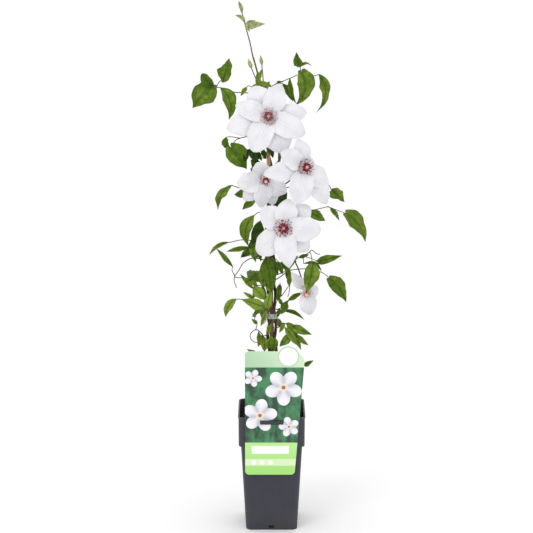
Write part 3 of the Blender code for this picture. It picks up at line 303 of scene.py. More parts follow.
plastic = Finish("anthracite_plastic", {"Specular IOR Level": 0.32})
_, _, level = plastic.axes(plastic.place)
cloud = plastic.noise(38.0)
speck = plastic.noise(900.0, 1.0)
drawn = plastic.noise(1.0, 3.0, plastic.stretched((260.0, 260.0, 14.0)))
dust = level.between(0.060, 0.004) * cloud.between(0.30, 0.75)
tint = plastic.coats(
    (0.030, 0.031, 0.042),
    (cloud * 0.7 + drawn * 0.3, (0.046, 0.048, 0.062)),
    (dust * 0.55, (0.060, 0.057, 0.056)),
    (level.between(POT_HEIGHT - 0.0020, POT_HEIGHT) * 0.45, (0.085, 0.087, 0.102)),
    (speck.between(0.66, 0.74) * 0.30, (0.095, 0.095, 0.105)))
plastic.finish(tint, 0.40 + cloud * 0.16 + dust * 0.12, drawn * 0.5 + speck * 0.25 + cloud * 0.6, 0.00035)

floor_half = body_half(POT_FLOOR) - POT_WALL
inner_corner = POT_CORNER - POT_WALL
profile = [Vector(place) for place in (
    (FOOT_SIDE / 2 - FOOT_CHAMFER - UNDERSIDE_RIM, 0.0, POT_CORNER - FOOT_CHAMFER),
    (FOOT_SIDE / 2 - FOOT_CHAMFER * 0.4, 0.0, POT_CORNER - FOOT_CHAMFER * 0.4),
    (BODY_SIDE / 2, COLLAR_Z, POT_CORNER),
    (COLLAR_SIDE / 2, COLLAR_Z, POT_CORNER),
    (RIM_SIDE / 2 - RIM_BEAD, POT_HEIGHT - 3.2 * RIM_BEAD, POT_CORNER),
    (RIM_SIDE / 2, POT_HEIGHT - 2.2 * RIM_BEAD, POT_CORNER),
    (RIM_SIDE / 2, POT_HEIGHT, POT_CORNER),
    (RIM_SIDE / 2 - POT_WALL - RIM_BEAD, POT_HEIGHT, inner_corner),
    (COLLAR_SIDE / 2 - POT_WALL, COLLAR_Z + POT_WALL, inner_corner),
    (BODY_SIDE / 2 - POT_WALL, COLLAR_Z + POT_WALL, inner_corner),
    (floor_half, POT_FLOOR, inner_corner),
    (floor_half - FLOOR_RIM, POT_FLOOR, inner_corner),
)]
tub = Form()
tub.loft([square_ring(half, corner, z, 10) for half, z, corner in rounded(profile, FOLD_RADIUS, 4)])
pot = tub.mesh("pot_shell", [plastic])
for x, y in ((0, 1), (0, -1), (1, 0), (-1, 0)):
    middle = Vector((x, y, 0)) * FOOT_SIDE / 2
    half = Vector((abs(y), abs(x), 0)) * SLOT_SIZE[0] / 2 + Vector((abs(x), abs(y), 0)) * 4 * POT_WALL
    cut(pot, *block(middle - half + Vector((0, 0, SLOT_Z)),
                    middle + half + Vector((0, 0, SLOT_Z + SLOT_SIZE[1]))))
for x in (-HOLE_OFFSET, HOLE_OFFSET):
    for y in (-HOLE_OFFSET, HOLE_OFFSET):
        drill = Form()
        drill.loft([[Vector((x, y, z)) + level_ray(turn) * HOLE_RADIUS for turn in turns(HOLE_SIDES)]
                    for z in (-POT_FLOOR, 2 * POT_FLOOR)])
        cut(pot, drill.points, drill.faces)
edge = [(TONGUE_WIDTH / 2, TONGUE_TOP), (-TONGUE_WIDTH / 2, TONGUE_TOP)]
for tooth in range(2 * TONGUE_TEETH + 1):
    edge.append((TONGUE_WIDTH * (tooth / (2 * TONGUE_TEETH) - 0.5),
                 TONGUE_TOP - TONGUE_HEIGHT - (TOOTH if tooth % 2 else 0.0)))
tongue = Form()
tongue.loft([[Vector((x, y, z)) for x, z in edge]
             for y in (POT_WALL - RIM_SIDE / 2, -RIM_SIDE / 2 - TONGUE_DEPTH)])
cut(pot, tongue.points, tongue.faces, "UNION")
dressed(pot, "pot", 40)


# POTTING SOIL
# Dark, moist potting mix, filled to a finger's width below the rim and settled unevenly. Chips
# of bark and pale wood fibres lie on its top.
SOIL_TOP = 0.1600
SOIL_RELIEF = 0.0022
SOIL_SWELL = 0.0011
SOIL_CRUMB = 0.0005
SOIL_RINGS = 26
LITTER_REACH = 0.042
BARK_CHIPS = 420
FIBRES = 90

mould = Finish("potting_mix", {"Specular IOR Level": 0.15})
grain = mould.noise(900.0, 5.0)
clod = mould.noise(160.0, 3.0)
tint = mould.coats(
    (0.016, 0.010, 0.007),
    (clod.between(0.3, 0.7), (0.050, 0.031, 0.019)),
    (grain.between(0.55, 0.75) * 0.5, (0.085, 0.055, 0.032)),
    (mould.mark("tone"), (0.200, 0.125, 0.066)))
mould.finish(tint, 0.86 + grain * 0.14, grain + clod * 2.0, 0.0012)


def soil_ring(half, z):
    """The soil's edge at a height, a hair clear of the pot's wall."""
    return square_ring(half - POT_WALL - GAP, inner_corner, z, 12)


def soil_level(x, y):
    """Height of the settled soil at a place."""
    return SOIL_TOP - SOIL_RELIEF + SOIL_SWELL * math.sin(160 * x) * math.cos(140 * y + 1)


draw = random.Random(23)
heap = Form()
rim = soil_ring(COLLAR_SIDE / 2, SOIL_TOP - 2 * SOIL_RELIEF)
rings = [soil_ring(body_half(POT_FLOOR), POT_FLOOR + GAP),
         soil_ring(BODY_SIDE / 2, COLLAR_Z + POT_WALL + GAP),
         soil_ring(COLLAR_SIDE / 2, COLLAR_Z + POT_WALL + GAP), rim]
for ring in range(1, SOIL_RINGS):
    inward = [point * (1 - ring / SOIL_RINGS) for point in rim]
    rings.append([Vector((point.x, point.y, soil_level(point.x, point.y)
                          + draw.uniform(-SOIL_CRUMB, SOIL_CRUMB))) for point in inward])
heap.loft(rings)
for number in range(BARK_CHIPS + FIBRES):
    spot = Vector((draw.uniform(-LITTER_REACH, LITTER_REACH), draw.uniform(-LITTER_REACH, LITTER_REACH), 0))
    spot.z = soil_level(spot.x, spot.y)
    fibre = number >= BARK_CHIPS
    size = Vector((draw.uniform(2.5, 6.0), 0.25, 0.25) if fibre else
                  (draw.uniform(0.8, 2.6), draw.uniform(0.6, 1.7), draw.uniform(0.4, 0.9))) / 1000
    points, faces = block(-size, size)
    lean = (Matrix.Rotation(draw.uniform(0, math.tau), 3, "Z")
            @ Matrix.Rotation(draw.uniform(-0.5, 0.5), 3, "Y"))
    points = [spot + lean @ (point * draw.uniform(0.75, 1.1)) for point in points]
    heap.add(points, faces, tone=draw.uniform(0.7, 1.0) if fibre else draw.uniform(0.0, 0.45))
dressed(heap.mesh("soil_bed", [mould]), "soil", 35)


# PLANT LABEL
# A thin, glossy card of printed plastic that hangs on the pot's tongue by a slit and stands
# above the rim. Its print is a plain picture of simple blossoms over leaves, with a pale band
# and a blank disc above and a lime-green foot with a blank panel below.
CARD_THICKNESS = 0.0008
CARD_LEFT = -0.0385
CARD_RIGHT_TOP = 0.0480
CARD_RIGHT_FOOT = 0.0338
CARD_TOP = 0.2760
CARD_FOOT = 0.0900
CARD_CORNER = 0.0060
CARD_DISC = (0.0240, 0.2680)
CARD_DISC_RADIUS = 0.0155

# The print, in millimetres: foot and top of the picture; middle, reach and first angle of each
# blossom; middle and half size of the blank panel; and the stripe with its three dots
PICTURE = (139.0, 252.0)
BLOSSOMS = ((17.0, 222.0, 27.0, 0.3), (-17.0, 180.0, 25.0, 1.1), (25.0, 163.0, 15.0, 0.7),
            (-27.0, 236.0, 13.0, 0.1))
PANEL = (-2.0, 128.0, 27.0, 6.0)
STRIPE_Z = 109.0
DOTS = (-26.0, -14.0, -2.0)

card = Finish("label_print", {"Coat Weight": 0.35, "Coat Roughness": 0.12, "Specular IOR Level": 0.5})
across, _, up = [part * 1000 for part in card.axes(card.place)]


def within(distance, reach, soft=0.3):
    """1 inside a printed edge and 0 outside it, in millimetres."""
    return distance.between(reach + soft, reach - soft)


def away_from(x, z):
    """How far each point of the card is from a place on it, in millimetres."""
    return ((across - x) ** 2 + (up - z) ** 2) ** 0.5


blur = card.noise(55.0, 2.0)
leafage = card.noise(1.0, 3.0, card.stretched((70.0, 1.0, 34.0)))
print_tint = card.coats(
    (0.006, 0.050, 0.022),
    (leafage.between(0.38, 0.62), (0.045, 0.235, 0.085)),
    (blur.between(0.52, 0.66) * 0.45, (0.004, 0.016, 0.012)))
for centre_x, centre_z, reach, start in BLOSSOMS:
    distance = away_from(centre_x, centre_z) / reach
    bearing = (up - centre_z).math("ARCTAN2", up - centre_z, across - centre_x) + start
    lobe = abs(bearing.math("COSINE", bearing * 2.5))
    shade = (distance + lobe) * 0.5
    bloom_tint = card.coats(
        (0.56, 0.56, 0.64),
        (shade.between(0.25, 0.95), (0.90, 0.88, 0.93)),
        (lobe.between(0.16, 0.02) * 0.35, (0.38, 0.42, 0.46)),
        (distance.between(0.30, 0.16) * 0.8, (0.84, 0.78, 0.52)),
        (distance.between(0.13, 0.09), (0.42, 0.10, 0.13)))
    margin = lobe * 0.40 + 0.60 - distance
    print_tint = card.mix(margin.between(-0.012, 0.012), print_tint, bloom_tint)
pale = card.mix((across + up).between(215.0, 320.0), (0.42, 0.62, 0.40), (0.64, 0.80, 0.58))
lime = card.coats(
    (0.36, 0.72, 0.17),
    (up.between(90.0, 140.0), (0.46, 0.80, 0.26)),
    (within(abs(up - STRIPE_Z), 5.1), (0.68, 0.84, 0.52)))
for centre_x in DOTS:
    lime = card.mix(within(away_from(centre_x, STRIPE_Z), 3.7, 0.2), lime, (0.88, 0.93, 0.84))
panel = within(abs(across - PANEL[0]), PANEL[2]) * within(abs(up - PANEL[1]), PANEL[3])
disc = away_from(CARD_DISC[0] * 1000, CARD_DISC[1] * 1000)
print_tint = card.coats(
    print_tint,
    (within(up, PICTURE[1], -0.4), pale),
    (within(up, PICTURE[0], 0.4), lime),
    (panel, (0.90, 0.91, 0.89)),
    (within(disc, 15.3), (0.50, 0.66, 0.48)),
    (within(disc, 13.3), (0.93, 0.94, 0.92)))
card.finish(print_tint, 0.26 + blur * 0.10, card.noise(500.0, 2.0), 0.00008)


def card_edge(inset):
    """Outline of the card, drawn in from its real edge by a little."""
    slope = (CARD_RIGHT_TOP - CARD_RIGHT_FOOT) / (CARD_TOP - CARD_FOOT)
    line = []

    def arc(x, z, radius, start, end, steps=10):
        for step in range(steps + 1):
            turn = math.radians(start + (end - start) * step / steps)
            line.append((x + (radius - inset) * math.cos(turn), z + (radius - inset) * math.sin(turn)))

    arc(CARD_LEFT + CARD_CORNER, CARD_FOOT + CARD_CORNER, CARD_CORNER, 180, 270)
    arc(CARD_RIGHT_FOOT - CARD_CORNER, CARD_FOOT + CARD_CORNER, CARD_CORNER, 270, 355)
    disc_x, disc_z = CARD_DISC
    meet = CARD_RIGHT_FOOT + slope * (disc_z - 0.010 - CARD_FOOT) - inset
    line += [(meet, disc_z - 0.014), (meet + 0.0002, disc_z - 0.008), (meet - 0.0012, disc_z - 0.0015)]
    arc(disc_x, disc_z, CARD_DISC_RADIUS, 20, 150, 28)
    arc(CARD_LEFT + CARD_CORNER, CARD_TOP - CARD_CORNER, CARD_CORNER, 90, 180)
    return line


card_back = -RIM_SIDE / 2 - GAP
card_front = card_back - CARD_THICKNESS
lip = CARD_THICKNESS / 4
sheet = Form()
sheet.loft([[Vector((x, y, z)) for x, z in card_edge(inset)] for y, inset in (
    (card_front, lip), (card_front + lip, 0.0), (card_back - lip, 0.0), (card_back, lip))])
label = sheet.mesh("plant_label", [card])
cut(label, *block((-TONGUE_WIDTH / 2 - GAP, card_front - GAP, TONGUE_TOP - TONGUE_HEIGHT - TOOTH - GAP),
                  (TONGUE_WIDTH / 2 + GAP, card_back + GAP, TONGUE_TOP + GAP)))
dressed(label, "label", 30)


# BAMBOO CANE
# One dry bamboo cane, pushed down through the soil and leaning a little to the left. It has a
# swollen joint with a dark scar every hand's width and is hollow at its cut top.
CANE_FOOT = Vector((0.0055, 0.0, 0.0200))
CANE_TOP = Vector((-0.0050, 0.0, 0.5620))
CANE_RADIUS = 0.0031
CANE_TAPER = 0.10
CANE_SIDES = 24
CANE_STEP = 0.0030
CANE_JOINTS = 5
CANE_JOINT_SHARE = 0.42
JOINT_TENTHS = (-12, -8, -5, -3, -1, 1, 3, 5, 8, 12, 20)
JOINT_SWELL = 0.11
GROOVE_DEPTH = 0.09

bamboo = Finish("dry_bamboo", {"Specular IOR Level": 0.4})
streak = bamboo.noise(1.0, 4.0, bamboo.stretched((1500.0, 1500.0, 16.0)))
patch = bamboo.noise(45.0, 3.0)
# The tone carries the dark joint scars, and painted shade inside the hollow top
scar_and_hollow_shade = bamboo.mark("tone")
_, _, level = bamboo.axes(bamboo.place)
tint = bamboo.coats(
    (0.360, 0.205, 0.085),
    (streak.between(0.35, 0.65), (0.610, 0.420, 0.205)),
    (patch.between(0.5, 0.7) * 0.5, (0.290, 0.180, 0.090)),
    # Painted shade: the cane turns dark below about 0.40 to 0.47 m, where the foliage shades it
    (level.between(0.47, 0.40) * 0.70, (0.085, 0.052, 0.030)),
    (scar_and_hollow_shade, (0.090, 0.050, 0.026)))
bamboo.finish(tint, 0.45 + patch * 0.2, streak + scar_and_hollow_shade * 0.6, 0.0002)


def cane_centre(z):
    """Middle of the leaning cane at a height."""
    return CANE_FOOT.lerp(CANE_TOP, (z - CANE_FOOT.z) / (CANE_TOP.z - CANE_FOOT.z))


def bump(distance, reach):
    """1 in the middle, falling off smoothly on both sides as a bell does."""
    return math.exp(-(distance / reach) ** 2)


def rings_along(route, radii, sides, relief=None):
    """Round sections across a route; relief(index, turn) swells or sinks the surface."""
    rings = []
    along = (route[1] - route[0]).normalized()
    across = along.orthogonal().normalized()
    for index, centre in enumerate(route):
        along = (route[min(index + 1, len(route) - 1)] - route[max(index - 1, 0)]).normalized()
        across = (across - along * across.dot(along)).normalized()
        upward = along.cross(across)
        ring = []
        for turn in turns(sides):
            radius = radii[index] * (relief(index, turn) if relief else 1.0)
            ring.append(centre + (across * math.cos(turn) + upward * math.sin(turn)) * radius)
        rings.append(ring)
    return rings


cane_height = CANE_TOP.z - CANE_FOOT.z
joints = [CANE_FOOT.z + cane_height / CANE_JOINTS * (joint + CANE_JOINT_SHARE)
          for joint in range(CANE_JOINTS)]
levels = {CANE_FOOT.z + CANE_STEP * step for step in range(int(cane_height / CANE_STEP))}
levels |= {joint + tenths / 10000 for joint in joints for tenths in JOINT_TENTHS}
levels = sorted(levels) + [CANE_TOP.z]
radii = []
scars_and_hollow_shade = []
for z in levels:
    near = min(joints, key=lambda joint: abs(joint - z)) - z
    swell = JOINT_SWELL * bump(near, 0.0030) - GROOVE_DEPTH * bump(near - 0.0008, 0.0003)
    radii.append(CANE_RADIUS * (0.975 + swell) * (1 - CANE_TAPER * (z / CANE_TOP.z) ** 2))
    scars_and_hollow_shade.append(bump(near - 0.0006, 0.0006))
rings = rings_along([cane_centre(z) for z in levels], radii, CANE_SIDES,
                    lambda index, turn: 1 + 0.012 * math.sin(3 * turn + 0.02 * index))
cut_top = rings[-1]
# The rings inside the hollow top take a dark tone: painted shade in the hollow
for share, drop, scar_and_hollow_shade in ((0.62, 0.0, 0.15), (0.58, 0.0005, 0.55), (0.52, 0.0080, 0.55)):
    rings.append([CANE_TOP + (point - CANE_TOP) * share - Vector((0, 0, drop)) for point in cut_top])
    scars_and_hollow_shade.append(scar_and_hollow_shade)
culm = Form()
culm.loft(rings)
culm.tones = [scar_and_hollow_shade for scar_and_hollow_shade in scars_and_hollow_shade for _ in range(CANE_SIDES)]
dressed(culm.mesh("bamboo_cane", [bamboo]), "cane", 50)


# WOODY STEMS
# Three thin stems that climb round the cane as one loose rope and then part. Their bark is
# brown, ridged lengthwise, and peels off in long papery strips; higher up they are younger,
# smoother and redder, and lower down their dark colour is partly painted shade.
STEM_SOIL_Z = 0.1250
STEM_PITCH = 0.1300
STEM_STEP = 0.0020
STEM_RADIUS_LOW = 0.0023
STEM_RADIUS_HIGH = 0.0016
STEM_CLEARANCE = 0.0008
STEM_SIDES = 16
STEM_TOPS = (0.5520, 0.4760, 0.4510)
STEM_TAILS = (
    ((-9, 5, 576), (-10, 2, 610), (-14, 0, 645), (-21, 0, 671), (-26, 0, 689)),
    ((7, 0, 500), (9, -1, 528), (10, -1, 556), (6, 5, 580), (-2, 8, 612), (-7, 6, 636)),
    ((7, 9, 480), (8, 11, 510), (11, 12, 540), (16, 12, 562)),
)
TAIL_TAPER = 2.3
PEELING_TOP = 0.470
STRIPS = 46
STRIP_STEPS = (6, 16)
STRIP_CURL = 0.0022
STRIP_THICKNESS = 0.00028

bark = Finish("peeling_bark", {"Specular IOR Level": 0.2})
fine = bark.noise(1.0, 5.0, bark.stretched((1300.0, 1300.0, 55.0)))
broad = bark.noise(90.0, 2.0)
strip = bark.mark("tone")
_, _, level = bark.axes(bark.place)
# Near-black ground below about 0.44 m, partly painted shade inside the foliage; redder and then greener
# higher up, where the stems are younger
tint = bark.coats(
    (0.012, 0.007, 0.005),
    (fine.between(0.32, 0.66), (0.092, 0.048, 0.030)),
    (broad.between(0.50, 0.70) * 0.5, (0.190, 0.125, 0.080)),
    (strip * strip, (0.400, 0.285, 0.175)),
    (level.between(0.44, 0.56), (0.120, 0.050, 0.032)),
    (level.between(0.58, 0.67) * 0.7, (0.135, 0.120, 0.040)))
bark.finish(tint, 0.72 + fine * 0.2, fine * 2.0 + broad, 0.0006)


def mm(point):
    """A place given in millimetres, as a vector in metres."""
    return Vector(point) / 1000


def smooth_route(corners, steps):
    """Catmull-Rom curve through the corners, with a few steps between each two."""
    padded = [corners[0] * 2 - corners[1], *corners, corners[-1] * 2 - corners[-2]]
    route = []
    for a, b, c, d in zip(padded, padded[1:], padded[2:], padded[3:]):
        for t in (step / steps for step in range(steps)):
            route.append(0.5 * (2 * b + (c - a) * t + (2 * a - 5 * b + 4 * c - d) * t ** 2
                                + (3 * b - a - 3 * c + d) * t ** 3))
    route.append(corners[-1].copy())
    return route


def stem_radius(z):
    """Radius of a twining stem at a height."""
    share = min(max((z - STEM_SOIL_Z) / (STEM_TOPS[0] - STEM_SOIL_Z), 0.0), 1.0)
    return STEM_RADIUS_LOW + (STEM_RADIUS_HIGH - STEM_RADIUS_LOW) * share


def stem_centre(number, z):
    """Middle of a twining stem at a height."""
    turn = math.tau * (z / STEM_PITCH + number / 3)
    reach = CANE_RADIUS * 1.1 + stem_radius(z) + STEM_CLEARANCE
    return cane_centre(z) + level_ray(turn) * reach


def bark_relief(number):
    """Lengthwise ridges and shallow swellings of one stem."""
    def relief(index, turn):
        ridge = math.sin(7 * turn + 0.11 * index + number) + 0.6 * math.sin(11 * turn - 0.07 * index)
        knot = bump((index + 17 * number) % 43 - 20, 3.5)
        return 1.0 + 0.045 * ridge + 0.16 * knot + 0.03 * math.sin(0.35 * index + turn)
    return relief


def add_strip(wood, route, radii, start):
    """A strip of bark that has come loose and curls away from the stem at both ends."""
    count = draw.randrange(*STRIP_STEPS)
    turn = draw.uniform(0, math.tau)
    drift = draw.uniform(-0.10, 0.10)
    width = draw.uniform(0.00035, 0.00080)
    lift = draw.uniform(0.00005, 0.00030)
    curl = draw.uniform(0.0, 1.0) ** 2 * STRIP_CURL
    rings = []
    for step in range(count):
        centre = route[start + step]
        along = (route[start + step + 1] - centre).normalized()
        outward = centre - cane_centre(centre.z)
        outward = (outward - along * outward.dot(along)).normalized()
        facing = Matrix.Rotation(turn + drift * step, 3, along) @ outward
        end = abs(2 * step / (count - 1) - 1)
        middle = centre + facing * (radii[start + step] * 1.02 + lift + curl * end ** 3)
        spread = along.cross(facing) * width * (1 - 0.55 * end ** 2)
        thick = facing * STRIP_THICKNESS / 2
        rings.append([middle - spread - thick, middle + spread - thick, middle + spread + thick,
                      middle - spread + thick])
    wood.loft(rings, tone=draw.uniform(0.05, 0.85))


draw = random.Random(41)
stems = []
for number, tail in enumerate(STEM_TAILS):
    climb = STEM_TOPS[number] - STEM_SOIL_Z
    steps = round(climb / STEM_STEP)
    route = [stem_centre(number, STEM_SOIL_Z + climb * step / steps) for step in range(steps + 1)]
    route += smooth_route([route[-1], *map(mm, tail)], 12)[1:]
    radii = [stem_radius(point.z) * (1 - TAIL_TAPER * max(point.z - STEM_TOPS[number], 0)) for point in route]
    wood = Form()
    wood.loft(rings_along(route, radii, STEM_SIDES, bark_relief(number)))
    peeling = [index for index, point in enumerate(route) if SOIL_TOP < point.z < PEELING_TOP]
    for _ in range(STRIPS):
        add_strip(wood, route, radii, draw.choice(peeling[:-STRIP_STEPS[1]]))
    dressed(wood.mesh(f"woody_stem_{number + 1}", [bark]), f"stem_{number + 1}", 60)
    stems.append((route, radii))


# TIES
# Two bands of clear, flexible plastic that hold the stems to the cane. Each is wound once
# round and its two ends are pinched together into a small tab at the front.

# Height of the band's foot, its own height, and how much further out it lies than the stems
TIES = {"tie_lower": (0.313, 0.0075, 0.0002), "tie_upper": (0.530, 0.0060, -0.0009)}
TIE_WALL = 0.0007
TIE_SIDES = 64
TIE_SECTION = ((0, 0.1), (0.5, 0.0), (1, 0.1), (1, 0.5), (1, 0.9), (0.5, 1.0), (0, 0.9), (0, 0.5))
TAB_REACH = 0.0050
TAB_THICKNESS = 0.0014
TAB_SIDES = 20

clear = Finish("clear_plastic", {"Specular IOR Level": 0.7, "Coat Weight": 0.4, "Coat Roughness": 0.08})
haze = clear.noise(420.0, 3.0)
clear.finish(clear.mix(haze, (0.30, 0.34, 0.32), (0.72, 0.76, 0.74)), 0.12 + haze * 0.16, haze, 0.0004)
clear.feed(clear.shader.inputs["Alpha"], 0.38 + haze.between(0.40, 0.66) * 0.38)

for name, (z, height, room) in TIES.items():
    reach = CANE_RADIUS * 1.1 + 2 * STEM_RADIUS_LOW + STEM_CLEARANCE + room
    centre = cane_centre(z)
    points = []
    faces = []
    for row, (out, level) in enumerate(TIE_SECTION):
        low = row * TIE_SIDES
        high = (row + 1) % len(TIE_SECTION) * TIE_SIDES
        for side, turn in enumerate(turns(TIE_SIDES)):
            wrinkle = 0.00022 * math.sin(9 * turn + 5 * level) + 0.00012 * math.sin(23 * turn)
            ray = level_ray(turn) * (reach + TIE_WALL * out + wrinkle)
            points.append(centre + ray + Vector((0, 0, height * level)))
            after = (side + 1) % TIE_SIDES
            faces.append((low + side, low + after, high + after, high + side))
    band = Form()
    band.add(points, faces)
    rings = []
    for y, size in ((-reach * 0.85, 1.0), (-reach - 0.001, 1.0), (-reach - TAB_REACH * 0.6, 1.0),
                    (-reach - TAB_REACH * 0.92, 1.0), (-reach - TAB_REACH, 0.35)):
        rings.append([centre + Vector((reach * 0.6 + TAB_THICKNESS / 2 * (1 + size * math.cos(turn)), y,
                                       height / 2 + (height / 2 - TIE_WALL) * size * math.sin(turn)))
                      for turn in turns(TAB_SIDES)])
    band.loft(rings)
    dressed(band.mesh(f"clear_{name}", [clear]), name, 45)


# LEAFY SPRAYS
# Each leaf of the vine is a thin, wiry stalk with heart-shaped or lance-shaped leaflets, and it
# twists round whatever it meets. The blades are soft and a little waxy, with sunken veins that
# arch from the base to the drawn-out tip; the stalks are purple-brown.
LEAF_THICKNESS = 0.00042
TWIG_RADIUS = 0.0008
TWIG_SIDES = 8
ROOT_DEPTH = 0.0010
LEAD = 0.0030

# Rows along a leaflet and places across it: more on a leaflet wider than LARGE_LEAF
LARGE_LEAF = 0.0145
LARGE_GRID = (30, (-1, -0.84, -0.64, -0.53, -0.42, -0.24, -0.09, 0, 0.09, 0.24, 0.42, 0.53, 0.64, 0.84, 1))
SMALL_GRID = (20, (-1, -0.70, -0.42, -0.14, 0, 0.14, 0.42, 0.70, 1))

# Outlines as (width at the base, place of the widest point, sharpness of the tip), and how far
# the two lobes of a heart reach back past the stalk
LEAF = (0.08, 0.36, 1.08)
HEART = (0.74, 0.25, 1.20)
NARROW = (0.10, 0.45, 0.95)
LOBE = 0.08

# How ripe the green of a spray is, from dark and shaded to pale and yellowish; the dark end is partly painted
# shade on sprays that sit in shade
TONES = {
    "spray_between": 0.10, "spray_dark_left": 0.20, "spray_left_dark": 0.25, "spray_back_low": 0.40,
    "spray_back_right": 0.40, "spray_heart": 0.42, "spray_front": 0.45, "spray_crown_right": 0.70,
    "spray_left_low": 0.70, "spray_right_mid": 0.74, "spray_low_side": 0.75, "spray_right_foot": 0.76,
    "spray_left_foot": 0.84, "spray_low_left": 0.85, "spray_left_inner": 0.88, "spray_left_olive": 0.95,
    "spray_crown_tuft": 1.0,
}
USUAL_TONE = 0.60

blade_green = Finish("leaf_blade", {"Specular IOR Level": 0.14})
along, over, under = blade_green.spots()
over = abs(over)
soft = blade_green.noise(150.0, 3.0)
patchy = blade_green.noise(42.0, 2.0)
cells = blade_green.node("ShaderNodeTexVoronoi", {"feature": "DISTANCE_TO_EDGE"},
                         {"Vector": blade_green.place, "Scale": 520.0})
side_vein = abs(over - 0.42).between(0.050, 0.010) | abs(over - 0.78).between(0.040, 0.010) * 0.6
veins = over.between(0.060, 0.012) | side_vein * 0.75 | cells.between(0.10, 0.02) * 0.22
# The leaflet's tone, partly ripeness and partly painted light and shade, with soft random clouds
ripeness_and_painted_light = blade_green.mark("tone") + (soft - 0.5) * 0.8 + (patchy - 0.5) * 0.8
tint = blade_green.coats(
    (0.012, 0.034, 0.003),
    (ripeness_and_painted_light.between(0.0, 0.55), (0.078, 0.152, 0.005)),
    (ripeness_and_painted_light.between(0.50, 1.05), (0.225, 0.325, 0.038)),
    # Painted shade: a dark band along the midrib, fading out towards the tip
    (over.between(0.26, 0.08) * along.between(1.0, 0.6) * 0.45, (0.022, 0.062, 0.004)),
    (over.between(0.80, 1.0) * 0.40, (0.060, 0.078, 0.012)),
    (veins * 0.30, (0.230, 0.330, 0.075)),
    (along.between(0.88, 1.0) * 0.60, (0.062, 0.042, 0.016)),
    (under * 0.55, (0.150, 0.225, 0.080)))
blade_green.finish(tint, 0.40 + soft * 0.22, soft * 0.6 - veins + cells * 0.8, 0.00040)

petiole = Finish("leaf_stalk", {"Specular IOR Level": 0.35})
grain = petiole.noise(1.0, 3.0, petiole.stretched((700.0, 700.0, 120.0)))
share, _, _ = petiole.spots()
tint = petiole.coats(
    (0.085, 0.038, 0.030),
    (share.between(0.25, 1.0), (0.085, 0.095, 0.030)),
    (grain.between(0.5, 0.7) * 0.4, (0.150, 0.085, 0.065)))
petiole.finish(tint, 0.55 + grain * 0.15, grain, 0.00012)


